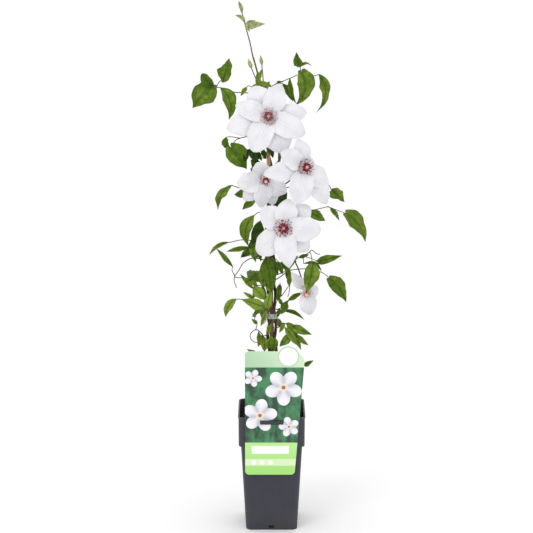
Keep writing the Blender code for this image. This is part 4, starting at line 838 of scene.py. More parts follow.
class Blade:
    """One leaflet or petal, from places and a width in millimetres, and angles in degrees.

    arch bows the rib towards its face, curl moves the tip and sway bows the rib sideways, all as
    shares of the length; wave is the ruffle of the margin as a share of the half width; ear draws
    the lobes of the base further back past the stalk; shade adds to the tone of the green, as
    painted light above 0 and painted shade below 0.
    """

    def __init__(self, base, tip, width, face=(0, -1, 0.3), shape=LEAF, arch=0.08, curl=-0.10,
                 fold=18, sway=0.0, twist=0.0, wave=0.10, ear=0.0, shade=0.0):
        self.base = mm(base)
        self.tip = mm(tip)
        self.width = width / 1000
        self.face = Vector(face)
        self.shape = shape
        self.arch = arch
        self.curl = curl
        self.fold = math.radians(fold)
        self.sway = sway
        self.twist = math.radians(twist)
        self.wave = wave
        self.lobe = 0.45 * ear + (LOBE if shape == HEART else 0.0)
        self.shade = shade

    def spread(self, u):
        """Share of the full width at u along the rib."""
        base, widest, sharpness = self.shape
        corner = 1 - 0.44 * base * max(1 - u / 0.20, 0.0) ** 2
        if u < widest:
            return (base + (1 - base) * math.sin(math.pi / 2 * u / widest)) * corner
        return max(math.cos(math.pi / 2 * (u - widest) / (1 - widest)), 0.0) ** sharpness

    def row(self, u, columns, relief):
        """Points of the middle surface across the rib at u."""
        span = self.tip - self.base
        length = span.length
        along = span / length
        face = (self.face - along * self.face.dot(along)).normalized()
        side = along.cross(face)

        def rib(s):
            hump = 4 * s * (1 - s)
            return (self.base + span * s + face * length * (self.arch * hump + self.curl * s ** 3)
                    + side * length * self.sway * hump)

        forward = (rib(min(u + 0.01, 1.0)) - rib(max(u - 0.01, 0.0))).normalized()
        across = (side - forward * side.dot(forward)).normalized()
        across = Matrix.Rotation(self.twist * (u - 0.3), 3, forward) @ across
        normal = across.cross(forward)
        half = self.width / 2 * self.spread(u)
        row = []
        for v in columns:
            ruffle = 1.3 * self.wave * half * v * v * math.sin(7.0 * u + 2.2 * v + 40 * length)
            uneven = 1 + self.wave * abs(v) * (0.60 * math.sin(9 * u + 1.9 * v + 170 * length)
                                               + 0.30 * math.sin(19 * u - 2.6 * v + 90 * length))
            back = self.lobe * length * math.sqrt(1 - (2 * abs(v) - 1) ** 2) * (1 - u) ** 3
            row.append(rib(u) + across * v * half * uneven * math.cos(self.fold) - forward * back
                       + normal * (abs(v) * half * math.sin(self.fold) + ruffle + relief(u, v, half, length)))
        return row

    def grow(self, form, rows, columns, thickness, relief, tone=0.0):
        """Add the thin closed blade to a form."""
        tip = self.row(1.0, (0,), relief)[0]
        grid = [self.row(row / rows, columns, relief) for row in range(rows)]
        wide = len(columns)
        points = []
        spots = []
        for side in (0.5, -0.5):
            for row in range(rows):
                for column in range(wide):
                    left = grid[row][max(column - 1, 0)]
                    right = grid[row][min(column + 1, wide - 1)]
                    below = grid[max(row - 1, 0)][column]
                    above = grid[row + 1][column] if row + 1 < rows else tip
                    normal = (right - left).cross(above - below).normalized()
                    edge = 1 - 0.55 * abs(columns[column]) ** 4
                    points.append(grid[row][column] + normal * thickness * side * edge)
                    spots.append((row / rows, columns[column], 0.5 - side))
            points.append(tip)
            spots.append((1.0, 0.0, 0.5 - side))
        last = grid[-1]
        points[-1] = tip - (last[-1] - last[0]).cross(tip - last[wide // 2]).normalized() * thickness / 3

        faces = []
        lower = rows * wide + 1
        for row in range(rows - 1):
            for a in range(row * wide, row * wide + wide - 1):
                faces.append((a, a + 1, a + 1 + wide, a + wide))
                faces.append((a + lower, a + wide + lower, a + 1 + wide + lower, a + 1 + lower))
        top_tip = rows * wide
        for a in range(top_tip - wide, top_tip - 1):
            faces.append((a, a + 1, top_tip))
            faces.append((a + lower, top_tip + lower, a + 1 + lower))
        rim = list(range(wide)) + [row * wide + wide - 1 for row in range(1, rows)]
        rim += [top_tip] + [row * wide for row in range(rows - 1, 0, -1)]
        for a, b in zip(rim, rim[1:] + rim[:1]):
            faces.append((a, a + lower, b + lower, b))
        form.add(points, faces, spots, tone)


def leaf_relief(u, v, half, length):
    """Sunken veins, soft quilting between them and a finely waved margin."""
    fade = min(u / 0.10, 1.0) * min((1 - u) / 0.12, 1.0)
    vein = bump(v, 0.07) + 0.6 * bump(abs(v) - 0.42, 0.07)
    quilt = math.sin(31 * u + 3 * v + 90 * length) * math.sin(7.5 * abs(v))
    crimp = abs(v) ** 5 * math.sin(27 * u + 5 * v + 200 * length)
    return fade * (-0.00055 * vein + 0.00045 * quilt + 0.055 * half * crimp)


def add_leaf(form, leaflet, routes, tone):
    """A leaflet that starts on the nearest of some stalks."""
    leaflet.base = closest_on(routes, leaflet.base)
    grid = LARGE_GRID if leaflet.width > LARGE_LEAF else SMALL_GRID
    leaflet.grow(form, *grid, LEAF_THICKNESS, leaf_relief, tone)


def add_stalk(form, route, start, end, finish=1, sides=TWIG_SIDES):
    """A wiry round stalk that swells a little at both ends."""
    last = len(route) - 1
    radii = []
    for index in range(last + 1):
        swell = 0.35 * math.exp(-index / 1.2) + 0.25 * math.exp(-(last - index) / 1.2)
        radii.append((start + (end - start) * index / last) * (1 + swell))
    form.loft(rings_along(route, radii, sides), finish=finish)


def best_stem(z, towards):
    """The stem that passes nearest to a point at a height."""
    def distance(number):
        route = stems[number][0]
        if route[-1].z < z:
            return 1.0
        return min((point - towards).length for point in route if abs(point.z - z) < 0.012)
    return min(range(len(stems)), key=distance)


def from_stem(height, corners, number=None, lead=LEAD):
    """Corners of a stalk: sunk into its stem at a height, straight out of it, then on its way."""
    z = height / 1000
    corners = [mm(point) for point in corners]
    route, radii = stems[best_stem(z, corners[0]) if number is None else number]
    low = min(range(len(route) - 1), key=lambda index: abs(route[index].z - z))
    along = (route[low + 1] - route[low]).normalized()
    heading = corners[0] - route[low]
    heading = (heading - along * heading.dot(along)).normalized()
    surface = route[low] + heading * radii[low]
    return [surface - heading * ROOT_DEPTH, surface + heading * lead, *corners]


def closest_on(routes, place):
    """The nearest place on the middle lines of some stalks."""
    nearest = routes[0][0]
    for route in routes:
        for low, high in zip(route, route[1:]):
            share = min(max((place - low).dot(high - low) / (high - low).length_squared, 0.0), 1.0)
            spot = low.lerp(high, share)
            if (spot - place).length < (nearest - place).length:
                nearest = spot
    return nearest


# Sprays: height of the seat, routes of the stalks, then the leaflets, all in millimetres
SPRAYS = {
    "spray_crown_left": (633, [
        [(-36, -2, 640), (-53, -4, 641), (-70, -6, 647), (-86, -7, 649)],
        [(-78, -6, 652), (-73, -6, 657), (-69, -5, 655)]], [
        Blade((-87, -7, 650), (-112, -13, 620), 35, shape=HEART, fold=14, ear=0.22, wave=0.17),
        Blade((-68, -5, 654), (-61, -2, 689), 21, face=(-0.3, -1, 0.2), sway=0.06, wave=0.20),
        Blade((-72, -6, 647), (-60, -12, 603), 20, face=(0.2, -1, 0.2), sway=-0.16)]),
    "spray_crown_right": (634, [
        [(0, 3, 648), (11, 0, 654), (36, -3, 665), (43, -4, 670)],
        [(40, -4, 668), (58, -4, 664), (66, -4, 666)],
        [(41, -3, 667), (40, -4, 674), (38, -4, 679)],
        [(11, 0, 654), (16, 3, 652)]], [
        Blade((42, -4, 669), (34, -12, 623), 26.5, face=(0.3, -1, 0.2), shape=HEART, sway=-0.17),
        Blade((66, -4, 666), (64, -8, 612), 15, face=(0.3, -1, 0.1), shape=(0.10, 0.30, 1.5), sway=-0.18,
              twist=14, wave=0.28),
        Blade((38, -4, 678), (34, -9, 697), 14, face=(-0.3, -1, 0), shape=HEART, fold=20, ear=0.1),
        Blade((39, -4, 676), (56, 0, 679), 6, face=(0, -0.6, 1), arch=0.25),
        Blade((15, 3, 652), (31, 5, 627), 12, face=(0.4, -1, 0.1))]),
    "spray_crown_tuft": (640, [
        [(-20, -7, 643), (-19, -9, 650)],
        [(-20, -6, 643), (-32, -4, 650), (-36, -4, 647)],
        [(-20, -7, 643), (-12, -9, 643)]], [
        Blade((-19, -8, 648), (-20, -10, 671), 9, face=(0.2, -1, 0)),
        Blade((-13, -9, 643), (-3, -12, 657), 10),
        Blade((-35, -4, 648), (-44, -6, 636), 7)]),
    "spray_heart": (578, [
        [(-24, -2, 580), (-45, -5, 576), (-52, -6, 572), (-57, -9, 563)],
        [(-45, -5, 576), (-58, -4, 578), (-65, -3, 577)]], [
        Blade((-57, -9, 562), (-35, -13, 533), 31, shape=HEART, fold=12, ear=0.18),
        Blade((-65, -3, 577), (-62, -4, 559), 14, face=(-0.5, -1, 0), fold=30)]),
    "spray_dark_left": (566, [
        [(-14, 0, 561), (-16, -6, 550), (-20, -9, 546)],
        [(-16, -7, 549), (-8, -10, 548), (-2, -10, 555)]], [
        Blade((-18, -8, 548), (-35, -13, 561), 16),
        Blade((-20, -9, 546), (-27, -15, 534), 16),
        Blade((-9, -9, 549), (-15, -12, 566), 8),
        Blade((-2, -10, 556), (-5, -12, 571), 11, face=(0.3, -1, 0.1))]),
    "spray_left_mid": (494, [
        [(-18, -2, 499), (-40, -5, 503), (-57, -8, 509)],
        [(-26, -3, 500), (-38, -6, 496)],
        [(-18, -3, 498), (-24, -7, 490)]], [
        Blade((-57, -8, 508), (-77, -13, 474), 12, sway=0.16, wave=0.34),
        Blade((-37, -6, 495), (-53, -10, 496), 13),
        Blade((-23, -7, 491), (-42, -13, 475), 13)]),
    "spray_between": (470, [
        [(4, -12, 474), (5, -14, 479)]], [
        Blade((5, -14, 479), (22, -18, 500), 16, face=(0.2, -1, 0.1)),
        Blade((5, -14, 478), (-12, -20, 468), 16)]),
    "spray_right_high": (500, [
        [(24, 0, 505), (58, -3, 513), (79, -5, 510), (86, -7, 501)]], [
        Blade((86, -7, 500), (104, -12, 486), 18, face=(0.3, -1, 0.2), shape=HEART, wave=0.24)]),
    "spray_right_mid": (452, [
        [(24, 0, 458), (48, -3, 469), (66, -4, 474), (81, -5, 478)],
        [(80, -5, 477), (90, -6, 474), (107, -8, 468)],
        [(44, -2, 467), (52, 1, 471)]], [
        Blade((83, -5, 475), (97, -11, 459), 8, face=(0.4, -1, 0.1), fold=25),
        Blade((107, -8, 467), (135, -15, 428), 23, face=(0.2, -1, 0.2), shape=HEART, sway=-0.09, wave=0.18),
        Blade((51, 1, 471), (78, 5, 455), 15)]),
    "spray_left_dark": (465, [
        [(-10, -8, 468), (-19, -10, 470), (-25, -11, 466)],
        [(-12, -8, 468), (-15, -8, 454)]], [
        # This leaflet's shade of 0.4 is painted light
        Blade((-25, -11, 465), (-34, -20, 423), 19, face=(-0.2, -1, 0.2), sway=0.16, shade=0.4),
        Blade((-15, -8, 454), (-28, -16, 427), 18, face=(0.2, -1, 0))]),
    "spray_left_low": (421, [
        [(-16, -4, 425), (-40, -8, 430), (-61, -8, 426)],
        [(-16, -4, 425), (-25, -7, 420), (-33, -8, 419)]], [
        Blade((-61, -8, 425), (-89, -17, 410), 7, shape=NARROW, fold=28, sway=0.12),
        Blade((-33, -8, 419), (-64, -17, 415), 8, shape=NARROW, fold=24),
        Blade((-25, -7, 418), (-45, -10, 404), 13),
        Blade((-30, -6, 428), (-23, -13, 398), 13)]),
    "spray_left_hook": (400, [
        [(-20, -5, 402), (-31, -7, 402), (-41, -9, 396), (-47, -9, 386), (-53, -10, 377),
         (-54, -10, 370), (-51, -10, 360)],
        [(-53, -10, 377), (-57, -11, 386), (-56, -11, 391)],
        [(-52, -10, 375), (-40, -10, 374)]], [
        Blade((-56, -11, 391), (-79, -8, 417), 8, shape=NARROW, fold=25)]),
    "spray_front": (404, [
        [(-8, -9, 407), (-8, -11, 398)],
        [(-10, -9, 406), (-2, -12, 404)]], [
        Blade((-9, -10, 406), (1, -23, 355), 23, face=(0, -1, 0.1)),
        Blade((-8, -11, 398), (-13, -16, 358), 15, face=(-0.3, -1, 0.2)),
        Blade((-3, -12, 404), (10, -17, 380), 12, face=(0.4, -1, 0))]),
    "spray_left_inner": (360, [
        [(-10, -6, 362), (-20, -8, 363), (-26, -9, 361), (-27, -10, 354)],
        [(-10, -6, 362), (-14, -7, 371)]], [
        Blade((-26, -9, 358), (-45, -13, 380), 8, shape=NARROW, fold=30),
        Blade((-14, -7, 371), (-30, -12, 372), 8),
        Blade((-26, -9, 361), (-8, -15, 343), 17, face=(0, -1, 0.1))]),
    "spray_left_foot": (333, [
        [(-12, -4, 336), (-38, -9, 342), (-51, -10, 343)]], [
        Blade((-51, -10, 342), (-67, -15, 317), 13, face=(-0.3, -1, 0.2), sway=0.12),
        Blade((-14, -4, 337), (-28, -12, 316), 9, face=(0.2, -1, 0))]),
    "spray_left_olive": (326, [
        [(-4, -8, 324), (-10, -12, 331)]], [
        Blade((-10, -12, 332), (-43, -20, 345), 17, fold=22),
        Blade((-8, -11, 328), (-1, -17, 357), 13, face=(0, -1, 0)),
        Blade((-9, -11, 325), (-16, -16, 304), 8)]),
    "spray_right_branch": (373, [
        [(19, -5, 380), (28, -6, 390), (36, -7, 402), (45, -8, 406), (54, -9, 412), (58, -9, 415),
         (64, -9, 410), (69, -9, 409)],
        [(45, -8, 406), (46, -9, 395)],
        [(45, -8, 406), (56, -9, 403), (67, -9, 398)],
        [(54, -9, 412), (56, -26, 412), (58, -40, 398)]], [
        Blade((67, -9, 398), (101, -13, 408), 13, face=(0.1, -1, 0.3), shape=HEART, ear=0.05),
        Blade((46, -9, 395), (72, -13, 384), 6, shape=NARROW, sway=-0.22),
        Blade((58, -40, 397), (49, -52, 361), 23.5, face=(0.1, -1, 0.1), shape=HEART, ear=0.08),
        Blade((29, -6, 388), (38, -13, 407), 9, sway=-0.15),
        Blade((38, -8, 405), (53, -12, 409), 6, shape=NARROW),
        Blade((21, -5, 385), (26, -10, 365), 8)]),
    "spray_right_large": (379, [
        [(24, 4, 382), (50, -2, 386), (72, -8, 382), (85, -9, 372)]], [
        Blade((85, -9, 371), (108, -17, 340), 22.5, face=(0.2, -1, 0.2), shape=HEART, sway=-0.05,
              ear=0.1)]),
    "spray_right_twig": (342, [
        [(14, -7, 347), (21, -9, 357), (27, -11, 367)],
        [(14, -7, 347), (12, -8, 356)],
        [(26, -11, 366), (25, -10, 352), (23, -10, 346)]], [
        Blade((12, -8, 356), (8, -11, 340), 8)]),
    "spray_right_narrow": (327, [
        [(17, -7, 331), (22, -8, 335), (24, -9, 341)],
        [(17, -7, 331), (17, -8, 325)]], [
        Blade((17, -8, 325), (47, -15, 313), 7, fold=30, sway=-0.12),
        Blade((21, -9, 337), (13, -13, 321), 11),
        Blade((24, -9, 341), (43, -12, 353), 8, shape=NARROW)]),
    "spray_right_foot": (300, [
        [(16, -6, 306), (20, -8, 306), (26, -8, 302)],
        [(18, -8, 306), (19, -9, 301), (28, -9, 293), (34, -9, 289)]], [
        Blade((26, -8, 302), (58, -17, 292), 13, face=(0.2, -1, 0.2)),
        Blade((20, -9, 301), (39, -17, 274), 11, face=(0.1, -1, 0.2)),
        Blade((31, -9, 291), (54, -12, 274), 9, face=(0.3, -1, 0)),
        Blade((30, -9, 291), (11, -8, 271), 13)]),
    "spray_low_left": (268, [
        [(-6, -8, 276), (-15, -9, 292), (-23, -9, 297), (-30, -9, 292), (-31, -9, 285), (-26, -9, 279),
         (-17, -9, 278)],
        [(-23, -9, 297), (-21, -9, 306)]], [
        Blade((-11, -9, 286), (-10, -13, 265), 14, face=(0.2, -1, 0)),
        Blade((-15, -9, 278), (-19, -15, 296), 9),
        Blade((-21, -9, 306), (-29, -12, 314), 6)]),
    "spray_low_front": (284, [
        [(4, -11, 284), (5, -14, 287)]], [
        Blade((5, -13, 286), (1, -17, 266), 13, face=(0.1, -1, 0.1))]),
    "spray_low_right": (225, [
        [(22, 2, 236), (34, 2, 242), (47, 0, 240)]], [
        Blade((47, 0, 240), (61, -3, 249), 8, fold=25),
        Blade((30, 2, 240), (40, -4, 225), 14)]),
    "spray_low_side": (240, [
        [(-12, -1, 250), (-22, -4, 260)]], [
        Blade((-21, -4, 259), (-36, -10, 268), 6),
        Blade((-14, -2, 253), (-26, -10, 240), 13)]),
    "spray_back_low": (290, [
        [(2, 15, 298), (-4, 30, 310), (-8, 42, 318)]], [
        Blade((-8, 41, 318), (-12, 70, 292), 20, face=(-0.2, 1, 0.6)),
        Blade((0, 24, 304), (16, 44, 286), 15, face=(0.3, 1, 0.5))]),
    "spray_back_left": (352, [
        [(-6, 14, 358), (-16, 28, 368), (-22, 40, 374)]], [
        Blade((-21, 39, 374), (-34, 66, 350), 19, face=(-0.3, 1, 0.6)),
        Blade((-14, 26, 366), (0, 50, 352), 15, face=(0.2, 1, 0.5))]),
    "spray_back_right": (430, [
        [(14, 12, 436), (24, 28, 446), (30, 42, 452)]], [
        Blade((29, 41, 452), (44, 68, 428), 21, face=(0.3, 1, 0.6)),
        Blade((22, 24, 444), (6, 50, 428), 17, face=(-0.2, 1, 0.5))]),
    "spray_back_high": (505, [
        [(-4, 14, 512), (-12, 30, 522), (-16, 44, 528)]], [
        Blade((-15, 43, 528), (-26, 70, 504), 20, face=(-0.3, 1, 0.6)),
        Blade((-9, 24, 519), (8, 46, 502), 17, face=(0.2, 1, 0.5))]),
    "spray_back_crown": (590, [
        [(10, 18, 598), (16, 32, 608), (18, 42, 612)]], [
        Blade((18, 41, 612), (30, 64, 590), 18, face=(0.3, 1, 0.6)),
        Blade((13, 25, 603), (-2, 46, 590), 15, face=(-0.3, 1, 0.5))]),
}

# Twigs and small inner leaflets too slight for the solids, by the spray that they belong to
INNER = {
    "spray_crown_left": ([], [
        Blade((-84, -7, 649), (-98, -13, 667), 15, face=(-0.2, -1, 0.1), shape=(0.50, 0.55, 0.55), fold=10)]),
    "spray_crown_right": ([
        [(2, 2, 659), (10, 0, 655), (16, -1, 655)]], [
        Blade((3, 2, 658), (14, 0, 656), 5),
        Blade((27, 1, 658), (35, -6, 625), 8, sway=0.1)]),
    "spray_crown_tuft": ([
        [(-19, -7, 661), (-19, -9, 670)]], [
        Blade((-22, -7, 653), (-32, -12, 642), 7),
        Blade((-18, -7, 658), (-14, -10, 674), 6),
        Blade((-14, -8, 656), (2, -12, 649), 7)]),
    "spray_dark_left": ([
        [(-11, -10, 566), (-3, -10, 566), (6, -11, 561), (11, -11, 549), (5, -10, 540), (-1, -8, 535)],
        [(-20, -10, 557), (-28, -10, 561), (-35, -10, 560)]], [
        Blade((-3, -10, 566), (2, -15, 549), 9),
        Blade((-34, -10, 560), (-39, -14, 542), 9),
        Blade((-28, -10, 560), (-22, -14, 541), 10),
        Blade((-20, -9, 560), (-14, -13, 545), 8)]),
    "spray_left_dark": ([
        [(-21, -10, 450), (-20, -9, 430), (-23, -9, 412)]], [
        Blade((-21, -9, 436), (-35, -13, 416), 11),
        Blade((-21, -9, 425), (-15, -12, 398), 9),
        Blade((-23, -9, 415), (-44, -12, 406), 8),
        Blade((-21, -10, 448), (-14, -12, 422), 10),
        # This leaflet's shade of -0.15 is painted shade
        Blade((-21, -9, 460), (-30, -12, 429), 13, shade=-0.15)]),
    "spray_left_low": ([], [
        Blade((-28, -8, 419), (-20, -12, 403), 8)]),
    "spray_front": ([
        [(-8, -12, 398), (3, -13, 404), (10, -12, 398)],
        [(-7, -12, 398), (-15, -13, 390), (-21, -12, 379)]], [
        Blade((9, -12, 400), (16, -14, 380), 9),
        Blade((2, -13, 401), (6, -17, 376), 10),
        Blade((-20, -12, 382), (-33, -14, 371), 8),
        Blade((-18, -13, 385), (-14, -16, 364), 9)]),
    "spray_left_inner": ([
        [(-11, -10, 355), (-8, -11, 366), (-2, -12, 373)]], [
        Blade((-8, -11, 366), (2, -15, 352), 9),
        Blade((-21, -10, 362), (-36, -13, 375), 8),
        Blade((-20, -9, 359), (-27, -13, 344), 9),
        Blade((-14, -10, 358), (-8, -13, 338), 8)]),
    "spray_left_olive": ([
        [(-14, -12, 333), (-20, -12, 341), (-28, -11, 345)]], [
        Blade((-27, -11, 343), (-41, -12, 354), 6),
        Blade((-14, -12, 333), (-23, -15, 321), 9)]),
    "spray_left_foot": ([
        [(-18, -6, 326), (-23, -9, 318), (-26, -9, 307)],
        [(-14, -5, 323), (-8, -9, 312), (-15, -9, 304)]], [
        Blade((-23, -9, 316), (-28, -11, 321), 4)]),
    "spray_right_twig": ([
        [(16, -7, 357), (12, -9, 367)]], [
        Blade((13, -9, 365), (9, -12, 344), 9),
        Blade((22, -10, 365), (26, -13, 388), 8)]),
    "spray_right_branch": ([
        [(21, -6, 385), (18, -8, 397), (21, -8, 409)]], [
        Blade((19, -8, 394), (28, -12, 376), 8),
        Blade((19, -8, 400), (12, -10, 383), 9),
        Blade((21, -8, 406), (36, -12, 398), 8)]),
    "spray_right_narrow": ([
        [(14, -7, 328), (16, -9, 337)]], [
        Blade((15, -9, 334), (8, -11, 348), 6),
        Blade((13, -8, 329), (25, -12, 342), 7),
        Blade((12, -7, 328), (8, -11, 315), 6)]),
    "spray_right_foot": ([], [
        Blade((20, -8, 305), (35, -14, 304), 6),
        Blade((36, -9, 285), (43, -12, 267), 7),
        Blade((21, -9, 303), (40, -13, 284), 10),
        Blade((19, -8, 308), (11, -11, 293), 7)]),
    "spray_low_left": ([
        [(-11, -9, 288), (-2, -10, 291), (2, -10, 285)]], [
        Blade((0, -10, 288), (-5, -14, 268), 9),
        Blade((-14, -9, 289), (-20, -12, 272), 9),
        Blade((-7, -9, 291), (0, -12, 309), 7)]),
}

draw = random.Random(7)
for name, (height, twigs, leaves) in SPRAYS.items():
    more_twigs, more_leaves = INNER.get(name, ([], []))
    routes = [smooth_route(from_stem(height, twigs[0]), 6)]
    spray = Form()
    add_stalk(spray, routes[0], TWIG_RADIUS, TWIG_RADIUS * 0.7)
    for corners in twigs[1:] + more_twigs:
        start, *others = map(mm, corners)
        routes.append(smooth_route([closest_on(routes, start), *others], 6))
        add_stalk(spray, routes[-1], TWIG_RADIUS * 0.75, TWIG_RADIUS * 0.6)
    for leaflet in leaves + more_leaves:
        # The tone is partly ripeness and partly painted light and shade: darker for sprays and leaflets in
        # shade, lighter for lit ones
        tone = TONES.get(name, USUAL_TONE) + leaflet.shade + draw.uniform(-0.14, 0.14)
        add_leaf(spray, leaflet, routes, tone)
    dressed(spray.mesh("leafy_" + name, [blade_green, petiole]), name)


# TIP SHOOT
# The soft young end of the vine, a thin purple-brown shoot with small, half-folded leaves that
# are still pale and downy. It grows on from the leaning stem.
SHOOT_CORNERS = ((-27, 0, 692), (-30, 0, 707), (-35, 0, 726), (-39, 0, 741), (-42, 0, 753))
SHOOT_RADII = (0.0010, 0.0006)
SHOOT_LEAVES = (
    Blade((-41, 0, 751), (-46, -1, 767.5), 6, face=(0.3, -1, 0.2), shape=NARROW),
    Blade((-36, -1, 731), (-10, -8, 737), 11, arch=0.12),
    Blade((-38, 0, 735), (-23, -4, 741), 6, shape=NARROW),
    Blade((-39, 0, 736), (-51, -5, 748), 6, sway=0.18, shape=NARROW),
    Blade((-37, -1, 733), (-31, -7, 726), 5),
)

young = Finish("young_growth", {"Specular IOR Level": 0.3, "Sheen Weight": 0.25, "Sheen Roughness": 0.5})
_, over, _ = young.spots()
mottle = young.noise(240.0, 3.0)
tint = young.coats(
    (0.190, 0.270, 0.080),
    (mottle.between(0.35, 0.65), (0.400, 0.450, 0.190)),
    (abs(over).between(0.08, 0.01) * 0.4, (0.500, 0.520, 0.300)),
    (young.mark("tone") * 0.6, (0.300, 0.190, 0.130)))
young.finish(tint, 0.62 + mottle * 0.15, young.noise(1800.0, 2.0), 0.00015)

shoot = Form()
leaning = stems[0][0]
route = smooth_route([leaning[-2], *map(mm, SHOOT_CORNERS)], 8)
add_stalk(shoot, route, *SHOOT_RADII)
for leaflet in SHOOT_LEAVES:
    add_leaf(shoot, leaflet, [route], draw.uniform(0.0, 0.35))
dressed(shoot.mesh("tip_shoot", [young, petiole]), "leader_shoot")


# FLOWER BUDS
# Two closed, pointed buds near the tip. Their folded sepals meet in four shallow seams and are
# covered in pale down.

# Stalk corners, then the bud's tip, its width and the height of its seat, in millimetres
BUDS = {
    "bud_left": ([(-19, -5, 654), (-24, -8, 664), (-29, -8, 676)], (-33, -8, 688), 5.8, 645),
    "bud_right": ([(-12, -5, 656), (-13, -6, 668), (-14, -6, 680)], (-16, -6, 693), 5.0, 649),
}
BUD_PROFILE = ((-0.08, 0.26), (-0.02, 0.48), (0.06, 0.68), (0.16, 0.86), (0.28, 0.97), (0.40, 0.99),
               (0.52, 0.90), (0.64, 0.75), (0.76, 0.56), (0.86, 0.37), (0.94, 0.20), (1.0, 0.07))
BUD_SIDES = 28
BUD_TONE = 0.15
BUD_STALK_RADII = (0.0008, 0.0007)


def bud_seams(index, turn):
    """Four seams where the folded sepals meet."""
    return 1 - 0.13 * abs(math.cos(2 * turn)) ** 9 + 0.02 * math.sin(6 * turn)


for name, (corners, tip, width, height) in BUDS.items():
    corners = from_stem(height, corners, number=0)
    start = corners.pop()
    end = mm(tip)
    bud = Form()
    add_stalk(bud, smooth_route([*corners, start.lerp(end, 0.1)], 6), *BUD_STALK_RADII)
    swell = [width / 2000 * size for _, size in BUD_PROFILE]
    middle = [start.lerp(end, share) for share, _ in BUD_PROFILE]
    bud.loft(rings_along(middle, swell, BUD_SIDES, bud_seams), tone=BUD_TONE)
    dressed(bud.mesh("flower_" + name, [young, petiole]), name)


# BLOOMS
# Wide, flat flowers of up to eight silky white sepals in two layers, each with three raised
# ribs and a finely crimped margin. A boss of white filaments with crimson anthers stands round
# a tuft of cream styles, and a thin stalk carries the bloom to its stem.

# Blooms: hub, way it faces, rise of the petals, stalk corners with its seat height, then each
# petal's angle seen from the front, length and width in millimetres, rise of its own, and how
# pointed its tip is
BLOOMS = {
    "bloom_top": ((-4, -44, 611), (-0.05, -1, 0.18), 6, (580, [(-4, -12, 583), (-4, -26, 596)]), [
        (119, 48, 35, 0, 0.56), (71, 48, 31, 0, 0.68), (8, 52, 30, 2, 0.62), (-26, 55, 34, 0, 0.60),
        (-67, 53, 40, 0, 0.56), (-114, 53, 36, 0, 0.60), (-164, 61, 34, 0, 0.68), (161, 49, 28, 2, 0.68)]),
    "bloom_right": ((45, -52, 542), (0.3, -1, 0.12), 8, (508, [(20, -10, 512), (36, -28, 528)]), [
        (103, 40, 25, 10, 0.60), (147, 42, 28, 4, 0.62), (-173, 60, 29, 4, 0.75),
        (-107, 52, 36, 0, 0.62), (-58, 63, 30, -2, 0.75), (-41, 46, 29, -6, 0.90),
        (29, 20, 22, -20, 0.60)]),
    "bloom_left": ((-10, -34, 524), (0.1, -1, -0.18), 10, (488, [(-8, -10, 492), (-12, -22, 510)]), [
        (115, 27, 26, 10, 0.64), (-170, 40, 32, 0, 0.62), (-131, 44, 27, 0, 0.66),
        (-98, 43, 26, 0, 0.74), (-71, 43, 25, 0, 0.74), (-36, 37, 27, 0, 0.66)]),
    "bloom_low": ((16, -64, 458), (0.02, -1, 0.14), 4, (412, [(12, -16, 414), (16, -38, 432)]), [
        (138, 41, 32, 2, 0.62), (79, 41, 31, 0, 0.66), (38, 48, 33, 0, 0.62), (-3, 52, 35, 0, 0.56),
        (-42, 48, 32, 0, 0.64), (-82, 56, 32, 0, 0.85), (-134, 51, 35, 0, 0.56)]),
    "bloom_nodding": ((48, -24, 360), (0.12, -1, -0.3), 14,
        (390, [(22, -12, 393), (31, -17, 400), (37, -17, 392)]), [
        (124, 39, 16, 4, 0.78), (-78, 39, 25, 0, 0.78), (-4, 19, 22, 6, 0.52), (78, 24, 17, -22, 0.60)]),
}

# Stamens of each bloom: how many fallen ones for each row, how far the ring spreads, how far it
# rises, and how faded the anthers are
STAMENS = {
    "bloom_top": (14, 0.0110, 0.0065, 0.50),
    "bloom_right": (14, 0.0105, 0.0070, 0.10),
    "bloom_left": (10, 0.0075, 0.0090, 0.20),
    "bloom_low": (16, 0.0120, 0.0062, 0.05),
    "bloom_nodding": (8, 0.0080, 0.0080, 0.85),
}
PETAL_FOOT = 0.60
PETAL_ROOT = 0.0030
PETAL_LAYERS = (-0.0009, 0.0007)
PETAL_SPLAY = (-3.5, 3.5)
PETAL_THICKNESS = 0.00050
PETAL_ROWS = 38
PETAL_COLUMNS = (-1, -0.93, -0.83, -0.71, -0.58, -0.45, -0.34, -0.25, -0.16, -0.07, 0,
                 0.07, 0.16, 0.25, 0.34, 0.45, 0.58, 0.71, 0.83, 0.93, 1)
RIBS = (-0.25, 0.0, 0.25)
HUB_FRONT = 0.0016
HUB_BACK = -0.0019
HUB_LEVELS = (HUB_BACK, HUB_BACK + 0.0005, 0.0, HUB_FRONT - 0.0003, HUB_FRONT)
HUB_RADII = (0.0022, 0.0038, 0.0048, 0.0042, 0.0026)
CORE_HEIGHT = 0.0042
CORE_LEVELS = (0.0, 0.3, 0.6, 0.85, 1.0)
CORE_RADII = (0.0024, 0.0025, 0.0021, 0.0013, 0.0004)
GOLDEN_SHARE = 0.381966
ERECT = 72
FALLEN_ROWS = 3
SAC_LEVELS = (0.0, 0.15, 0.5, 0.85, 1.0)
SAC_RADII = (0.0004, 0.0007, 0.0009, 0.0007, 0.0003)
STYLES = 16
STALK_RADII = (0.0011, 0.0009)

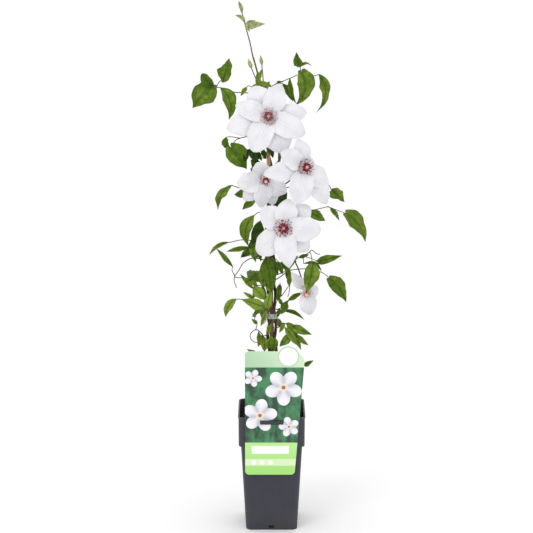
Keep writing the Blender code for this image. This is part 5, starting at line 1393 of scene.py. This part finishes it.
silk = Finish("white_sepal", {"Specular IOR Level": 0.35, "Sheen Weight": 0.05, "Sheen Roughness": 0.4})
along, over, under = silk.spots()
over = abs(over)
cloud = silk.noise(60.0, 2.0)
lines = silk.node("ShaderNodeTexWave", {"bands_direction": "Y"},
                  {"Vector": silk.mark("spot", "Vector"), "Scale": 4.2, "Distortion": 1.2, "Detail": 2.0,
                   "Detail Scale": 1.5})
groove_shade = abs(over - 0.12).between(0.07, 0.0) | abs(over - 0.34).between(0.06, 0.0) * 0.6
tint = silk.coats(
    (0.735, 0.735, 0.775),
    (cloud.between(0.30, 0.70), (0.815, 0.815, 0.840)),
    # Painted shade: lilac-grey in the valleys between the ribs, fading out towards the tip
    (groove_shade * along.between(1.0, 0.25) * 0.42, (0.580, 0.580, 0.670)),
    (lines.between(0.55, 0.95) * 0.10, (0.560, 0.550, 0.650)),
    (along.between(0.22, 0.02) * 0.35, (0.620, 0.660, 0.520)),
    (under * 0.30 * over.between(0.55, 0.05), (0.560, 0.620, 0.520)))
silk.finish(tint, 0.48 + cloud * 0.12, lines * 0.5 + cloud, 0.00018)

filament = Finish("white_filament", {"Specular IOR Level": 0.3})
share, _, _ = filament.spots()
tint = filament.mix(share.between(0.45, 1.0), (0.830, 0.810, 0.740), (0.760, 0.560, 0.600))
filament.finish(tint, 0.50 + share * 0.1)

anther = Finish("crimson_anther", {"Specular IOR Level": 0.25})
pollen = anther.noise(2600.0, 2.0)
faded = anther.mark("tone")
tint = anther.coats(
    (0.330, 0.006, 0.048),
    (faded.between(0.0, 0.45), (0.210, 0.030, 0.070)),
    (faded.between(0.45, 1.0), (0.640, 0.330, 0.330)),
    (pollen.between(0.62, 0.76) * 0.30, (0.520, 0.220, 0.200)))
anther.finish(tint, 0.65 + pollen * 0.2, pollen, 0.0001)

style = Finish("cream_style", {"Specular IOR Level": 0.3, "Sheen Weight": 0.2})
share, _, _ = style.spots()
style.finish(style.mix(share, (0.840, 0.700, 0.420), (0.930, 0.800, 0.540)), 0.55 + share * 0.1)


def petal_relief(u, v, half, length):
    """Three raised ribs, valleys between them and a crimped margin."""
    fade = min(u / 0.12, 1.0) * min((1 - u) / 0.20, 1.0)
    ribs = sum(bump(v - rib, 0.075) for rib in RIBS)
    crimp = abs(v) ** 3 * (math.sin(21 * u + 4 * v + 310 * length)
                           + 0.6 * math.sin(47 * u - 7 * v + 150 * length))
    billow = math.sin(6.5 * u + 3.0 * v + 77 * length) * (0.35 + 0.65 * abs(v))
    return fade * (0.00060 * ribs + 0.030 * half * crimp + 0.045 * half * billow)


class Hub:
    """The middle of a bloom and its three directions: out of its face, right and up."""

    def __init__(self, place, facing):
        self.centre = mm(place)
        self.axis = Vector(facing).normalized()
        self.right = Vector((0, 0, 1)).cross(self.axis).normalized()
        self.upward = self.axis.cross(self.right)

    def ahead(self, distance):
        """A place on the axis, in front of the middle or behind it."""
        return self.centre + self.axis * distance

    def outward(self, turn):
        """The direction away from the middle at a turn."""
        return self.right * math.cos(turn) + self.upward * math.sin(turn)


def sepals(hub, rise, petals):
    """The petals in their two layers, on the small dome that they grow from."""
    flower = Form()
    for index, (angle, length, width, own_rise, point) in enumerate(petals):
        outward = hub.outward(math.radians(angle))
        lift = math.radians(rise + own_rise + PETAL_SPLAY[index % 2])
        heading = outward * math.cos(lift) + hub.axis * math.sin(lift)
        centre = hub.ahead(PETAL_LAYERS[index % 2])
        base = centre + outward * PETAL_ROOT
        tip = centre + heading * length / 1000
        petal = Blade(base * 1000, tip * 1000, width, face=hub.axis - heading * 0.2,
                      shape=(PETAL_FOOT, 0.74 - 0.34 * point, point), fold=4, arch=0.07, curl=-0.14,
                      wave=0.06, twist=5 * math.sin(3 * index))
        petal.grow(flower, PETAL_ROWS, PETAL_COLUMNS, PETAL_THICKNESS, petal_relief)
    flower.loft(rings_along([hub.ahead(level) for level in HUB_LEVELS], HUB_RADII, 24))
    return flower


def add_stamen(boss, hub, index, spread, height, faded):
    """One stamen: a filament and its anther, upright in the ring or fallen open round it."""
    erect = index < ERECT
    turn = math.tau * index * GOLDEN_SHARE + draw.uniform(-0.12, 0.12)
    share = math.sqrt((index + 7) / (ERECT + 7)) if erect else draw.uniform(1.25, 2.0)
    reach = spread * 0.55 * share * draw.uniform(0.92, 1.06)
    lift = height * ((1.50 - 0.35 * share) if erect else draw.uniform(0.45, 0.95))
    out = hub.outward(turn)
    sideways = hub.axis.cross(out) * draw.uniform(-0.0007, 0.0007)
    foot = hub.ahead(HUB_FRONT + 0.0008) + out * 0.0014
    top = hub.ahead(HUB_FRONT + lift) + out * reach + sideways
    bend = hub.axis * lift * (0.10 if erect else 0.22)
    line = smooth_route([foot, foot.lerp(top, 0.5) + bend, top], 4)
    thick = 0.00036 if erect else 0.00026
    boss.loft(rings_along(line, [thick - 0.00002 * step for step in range(len(line))], 5))

    ahead = (line[-1] - line[-2]).normalized()
    length = draw.uniform(0.0030, 0.0040) if erect else draw.uniform(0.0014, 0.0024)
    sac = [top + ahead * length * (level - 0.30) for level in SAC_LEVELS]
    plump = 1.0 if erect else 0.62
    tone = faded + draw.uniform(0.0, 0.3) + (0.0 if erect else 0.15)
    boss.loft(rings_along(sac, [plump * size for size in SAC_RADII], 6), tone, finish=1)


def stamens(hub, count, spread, height, faded):
    """The boss: a cream core, the stamens round it and the tuft of styles on it."""
    boss = Form()
    core = [hub.ahead(HUB_FRONT - 0.0002 + CORE_HEIGHT * level) for level in CORE_LEVELS]
    boss.loft(rings_along(core, CORE_RADII, 20), tone=0.2, finish=2)
    for index in range(ERECT + count * FALLEN_ROWS):
        add_stamen(boss, hub, index, spread, height, faded)
    for index in range(STYLES):
        share = math.sqrt((index + 0.5) / STYLES)
        out = hub.outward(math.tau * index * GOLDEN_SHARE)
        foot = hub.ahead(HUB_FRONT + 0.0028) + out * 0.0014 * share
        top = hub.ahead(HUB_FRONT + height * 1.95 - 0.0016 * share) + out * 0.0024 * share
        line = smooth_route([foot, foot.lerp(top, 0.55) + hub.axis * 0.0004, top], 3)
        boss.loft(rings_along(line, [0.00060 - 0.00003 * step for step in range(len(line))], 5), finish=2)
    return boss


for name, (place, facing, rise, (height, corners), petals) in BLOOMS.items():
    hub = Hub(place, facing)
    dressed(sepals(hub, rise, petals).mesh(name + "_sepals", [silk]), name + "_petals")

    draw = random.Random(name)
    boss = stamens(hub, *STAMENS[name])
    dressed(boss.mesh(name + "_boss", [filament, anther, style]), name + "_stamens")

    corners = from_stem(height, corners, lead=0.004)
    neck = [hub.ahead(HUB_BACK - behind) for behind in (0.008, 0.003, 0.0)]
    stalk = Form()
    add_stalk(stalk, smooth_route([*corners, *neck], 7), *STALK_RADII, finish=0, sides=10)
    dressed(stalk.mesh(name + "_peduncle", [petiole]), name + "_stalk")


# STAGE
# A plain, pale floor under soft studio light, seen from a little above the blooms.
FLOOR_REACH = 1.3
FLOOR_FADE = (1.20, 0.55)
FLOOR_DROP = 0.0002

# Lamps: place, size and power
LAMPS = {
    "key": ((-1.1, -1.6, 2.1), 0.9, 11.0),
    "fill": ((1.7, -1.5, 1.1), 1.5, 1.5),
    "back": ((0.4, 1.6, 1.7), 1.2, 6.0),
}
LAMP_TARGET = Vector((0, 0, 0.40))
CAMERA_PLACE = Vector((-0.0075, -2.2, 0.869))
CAMERA_TARGET = Vector((-0.0075, 0.0, 0.389))
CAMERA_LENS = 105.28
CAMERA_SENSOR = 36.0

pale_floor = Finish("pale_floor", {"Specular IOR Level": 0.1})
smooth = pale_floor.noise(1.2, 2.0)
far = pale_floor.node("ShaderNodeVectorMath", {"operation": "LENGTH"}, {"Vector": pale_floor.place}, 1)
pale_floor.finish(pale_floor.mix(smooth, (0.90, 0.90, 0.90), (0.93, 0.93, 0.93)), 0.8 + smooth * 0.1)
pale_floor.feed(pale_floor.shader.inputs["Alpha"], far.between(*FLOOR_FADE))
corners = [Vector((x, y, 0.0)) * FLOOR_REACH for x, y in ((-1, -1), (1, -1), (1, 1), (-1, 1))]
ground = Form()
ground.add(corners, [(0, 1, 2, 3)])
floor = ground.mesh("studio_floor", [pale_floor])
floor.location.z = -FLOOR_DROP


def aimed(piece, place, target):
    """Set a lamp or the camera down at a place, turned to a target."""
    piece.location = place
    piece.rotation_euler = (target - Vector(place)).to_track_quat("-Z", "Y").to_euler()
    return piece


for name, (place, size, power) in LAMPS.items():
    lamp = bpy.data.lights.new(name + "_light", "AREA")
    lamp.size = size
    lamp.energy = power
    aimed(placed(name + "_light", lamp), place, LAMP_TARGET)

world = bpy.data.worlds.new("white_studio")
world.use_nodes = True
world.node_tree.nodes["Background"].inputs["Color"].default_value = (1.0, 1.0, 1.0, 1.0)
world.node_tree.nodes["Background"].inputs["Strength"].default_value = 1.0
bpy.context.scene.world = world
bpy.context.scene.view_settings.view_transform = "Standard"

lens = bpy.data.cameras.new("camera")
lens.lens = CAMERA_LENS
lens.sensor_width = CAMERA_SENSOR
bpy.context.scene.camera = aimed(placed("camera", lens), CAMERA_PLACE, CAMERA_TARGET)
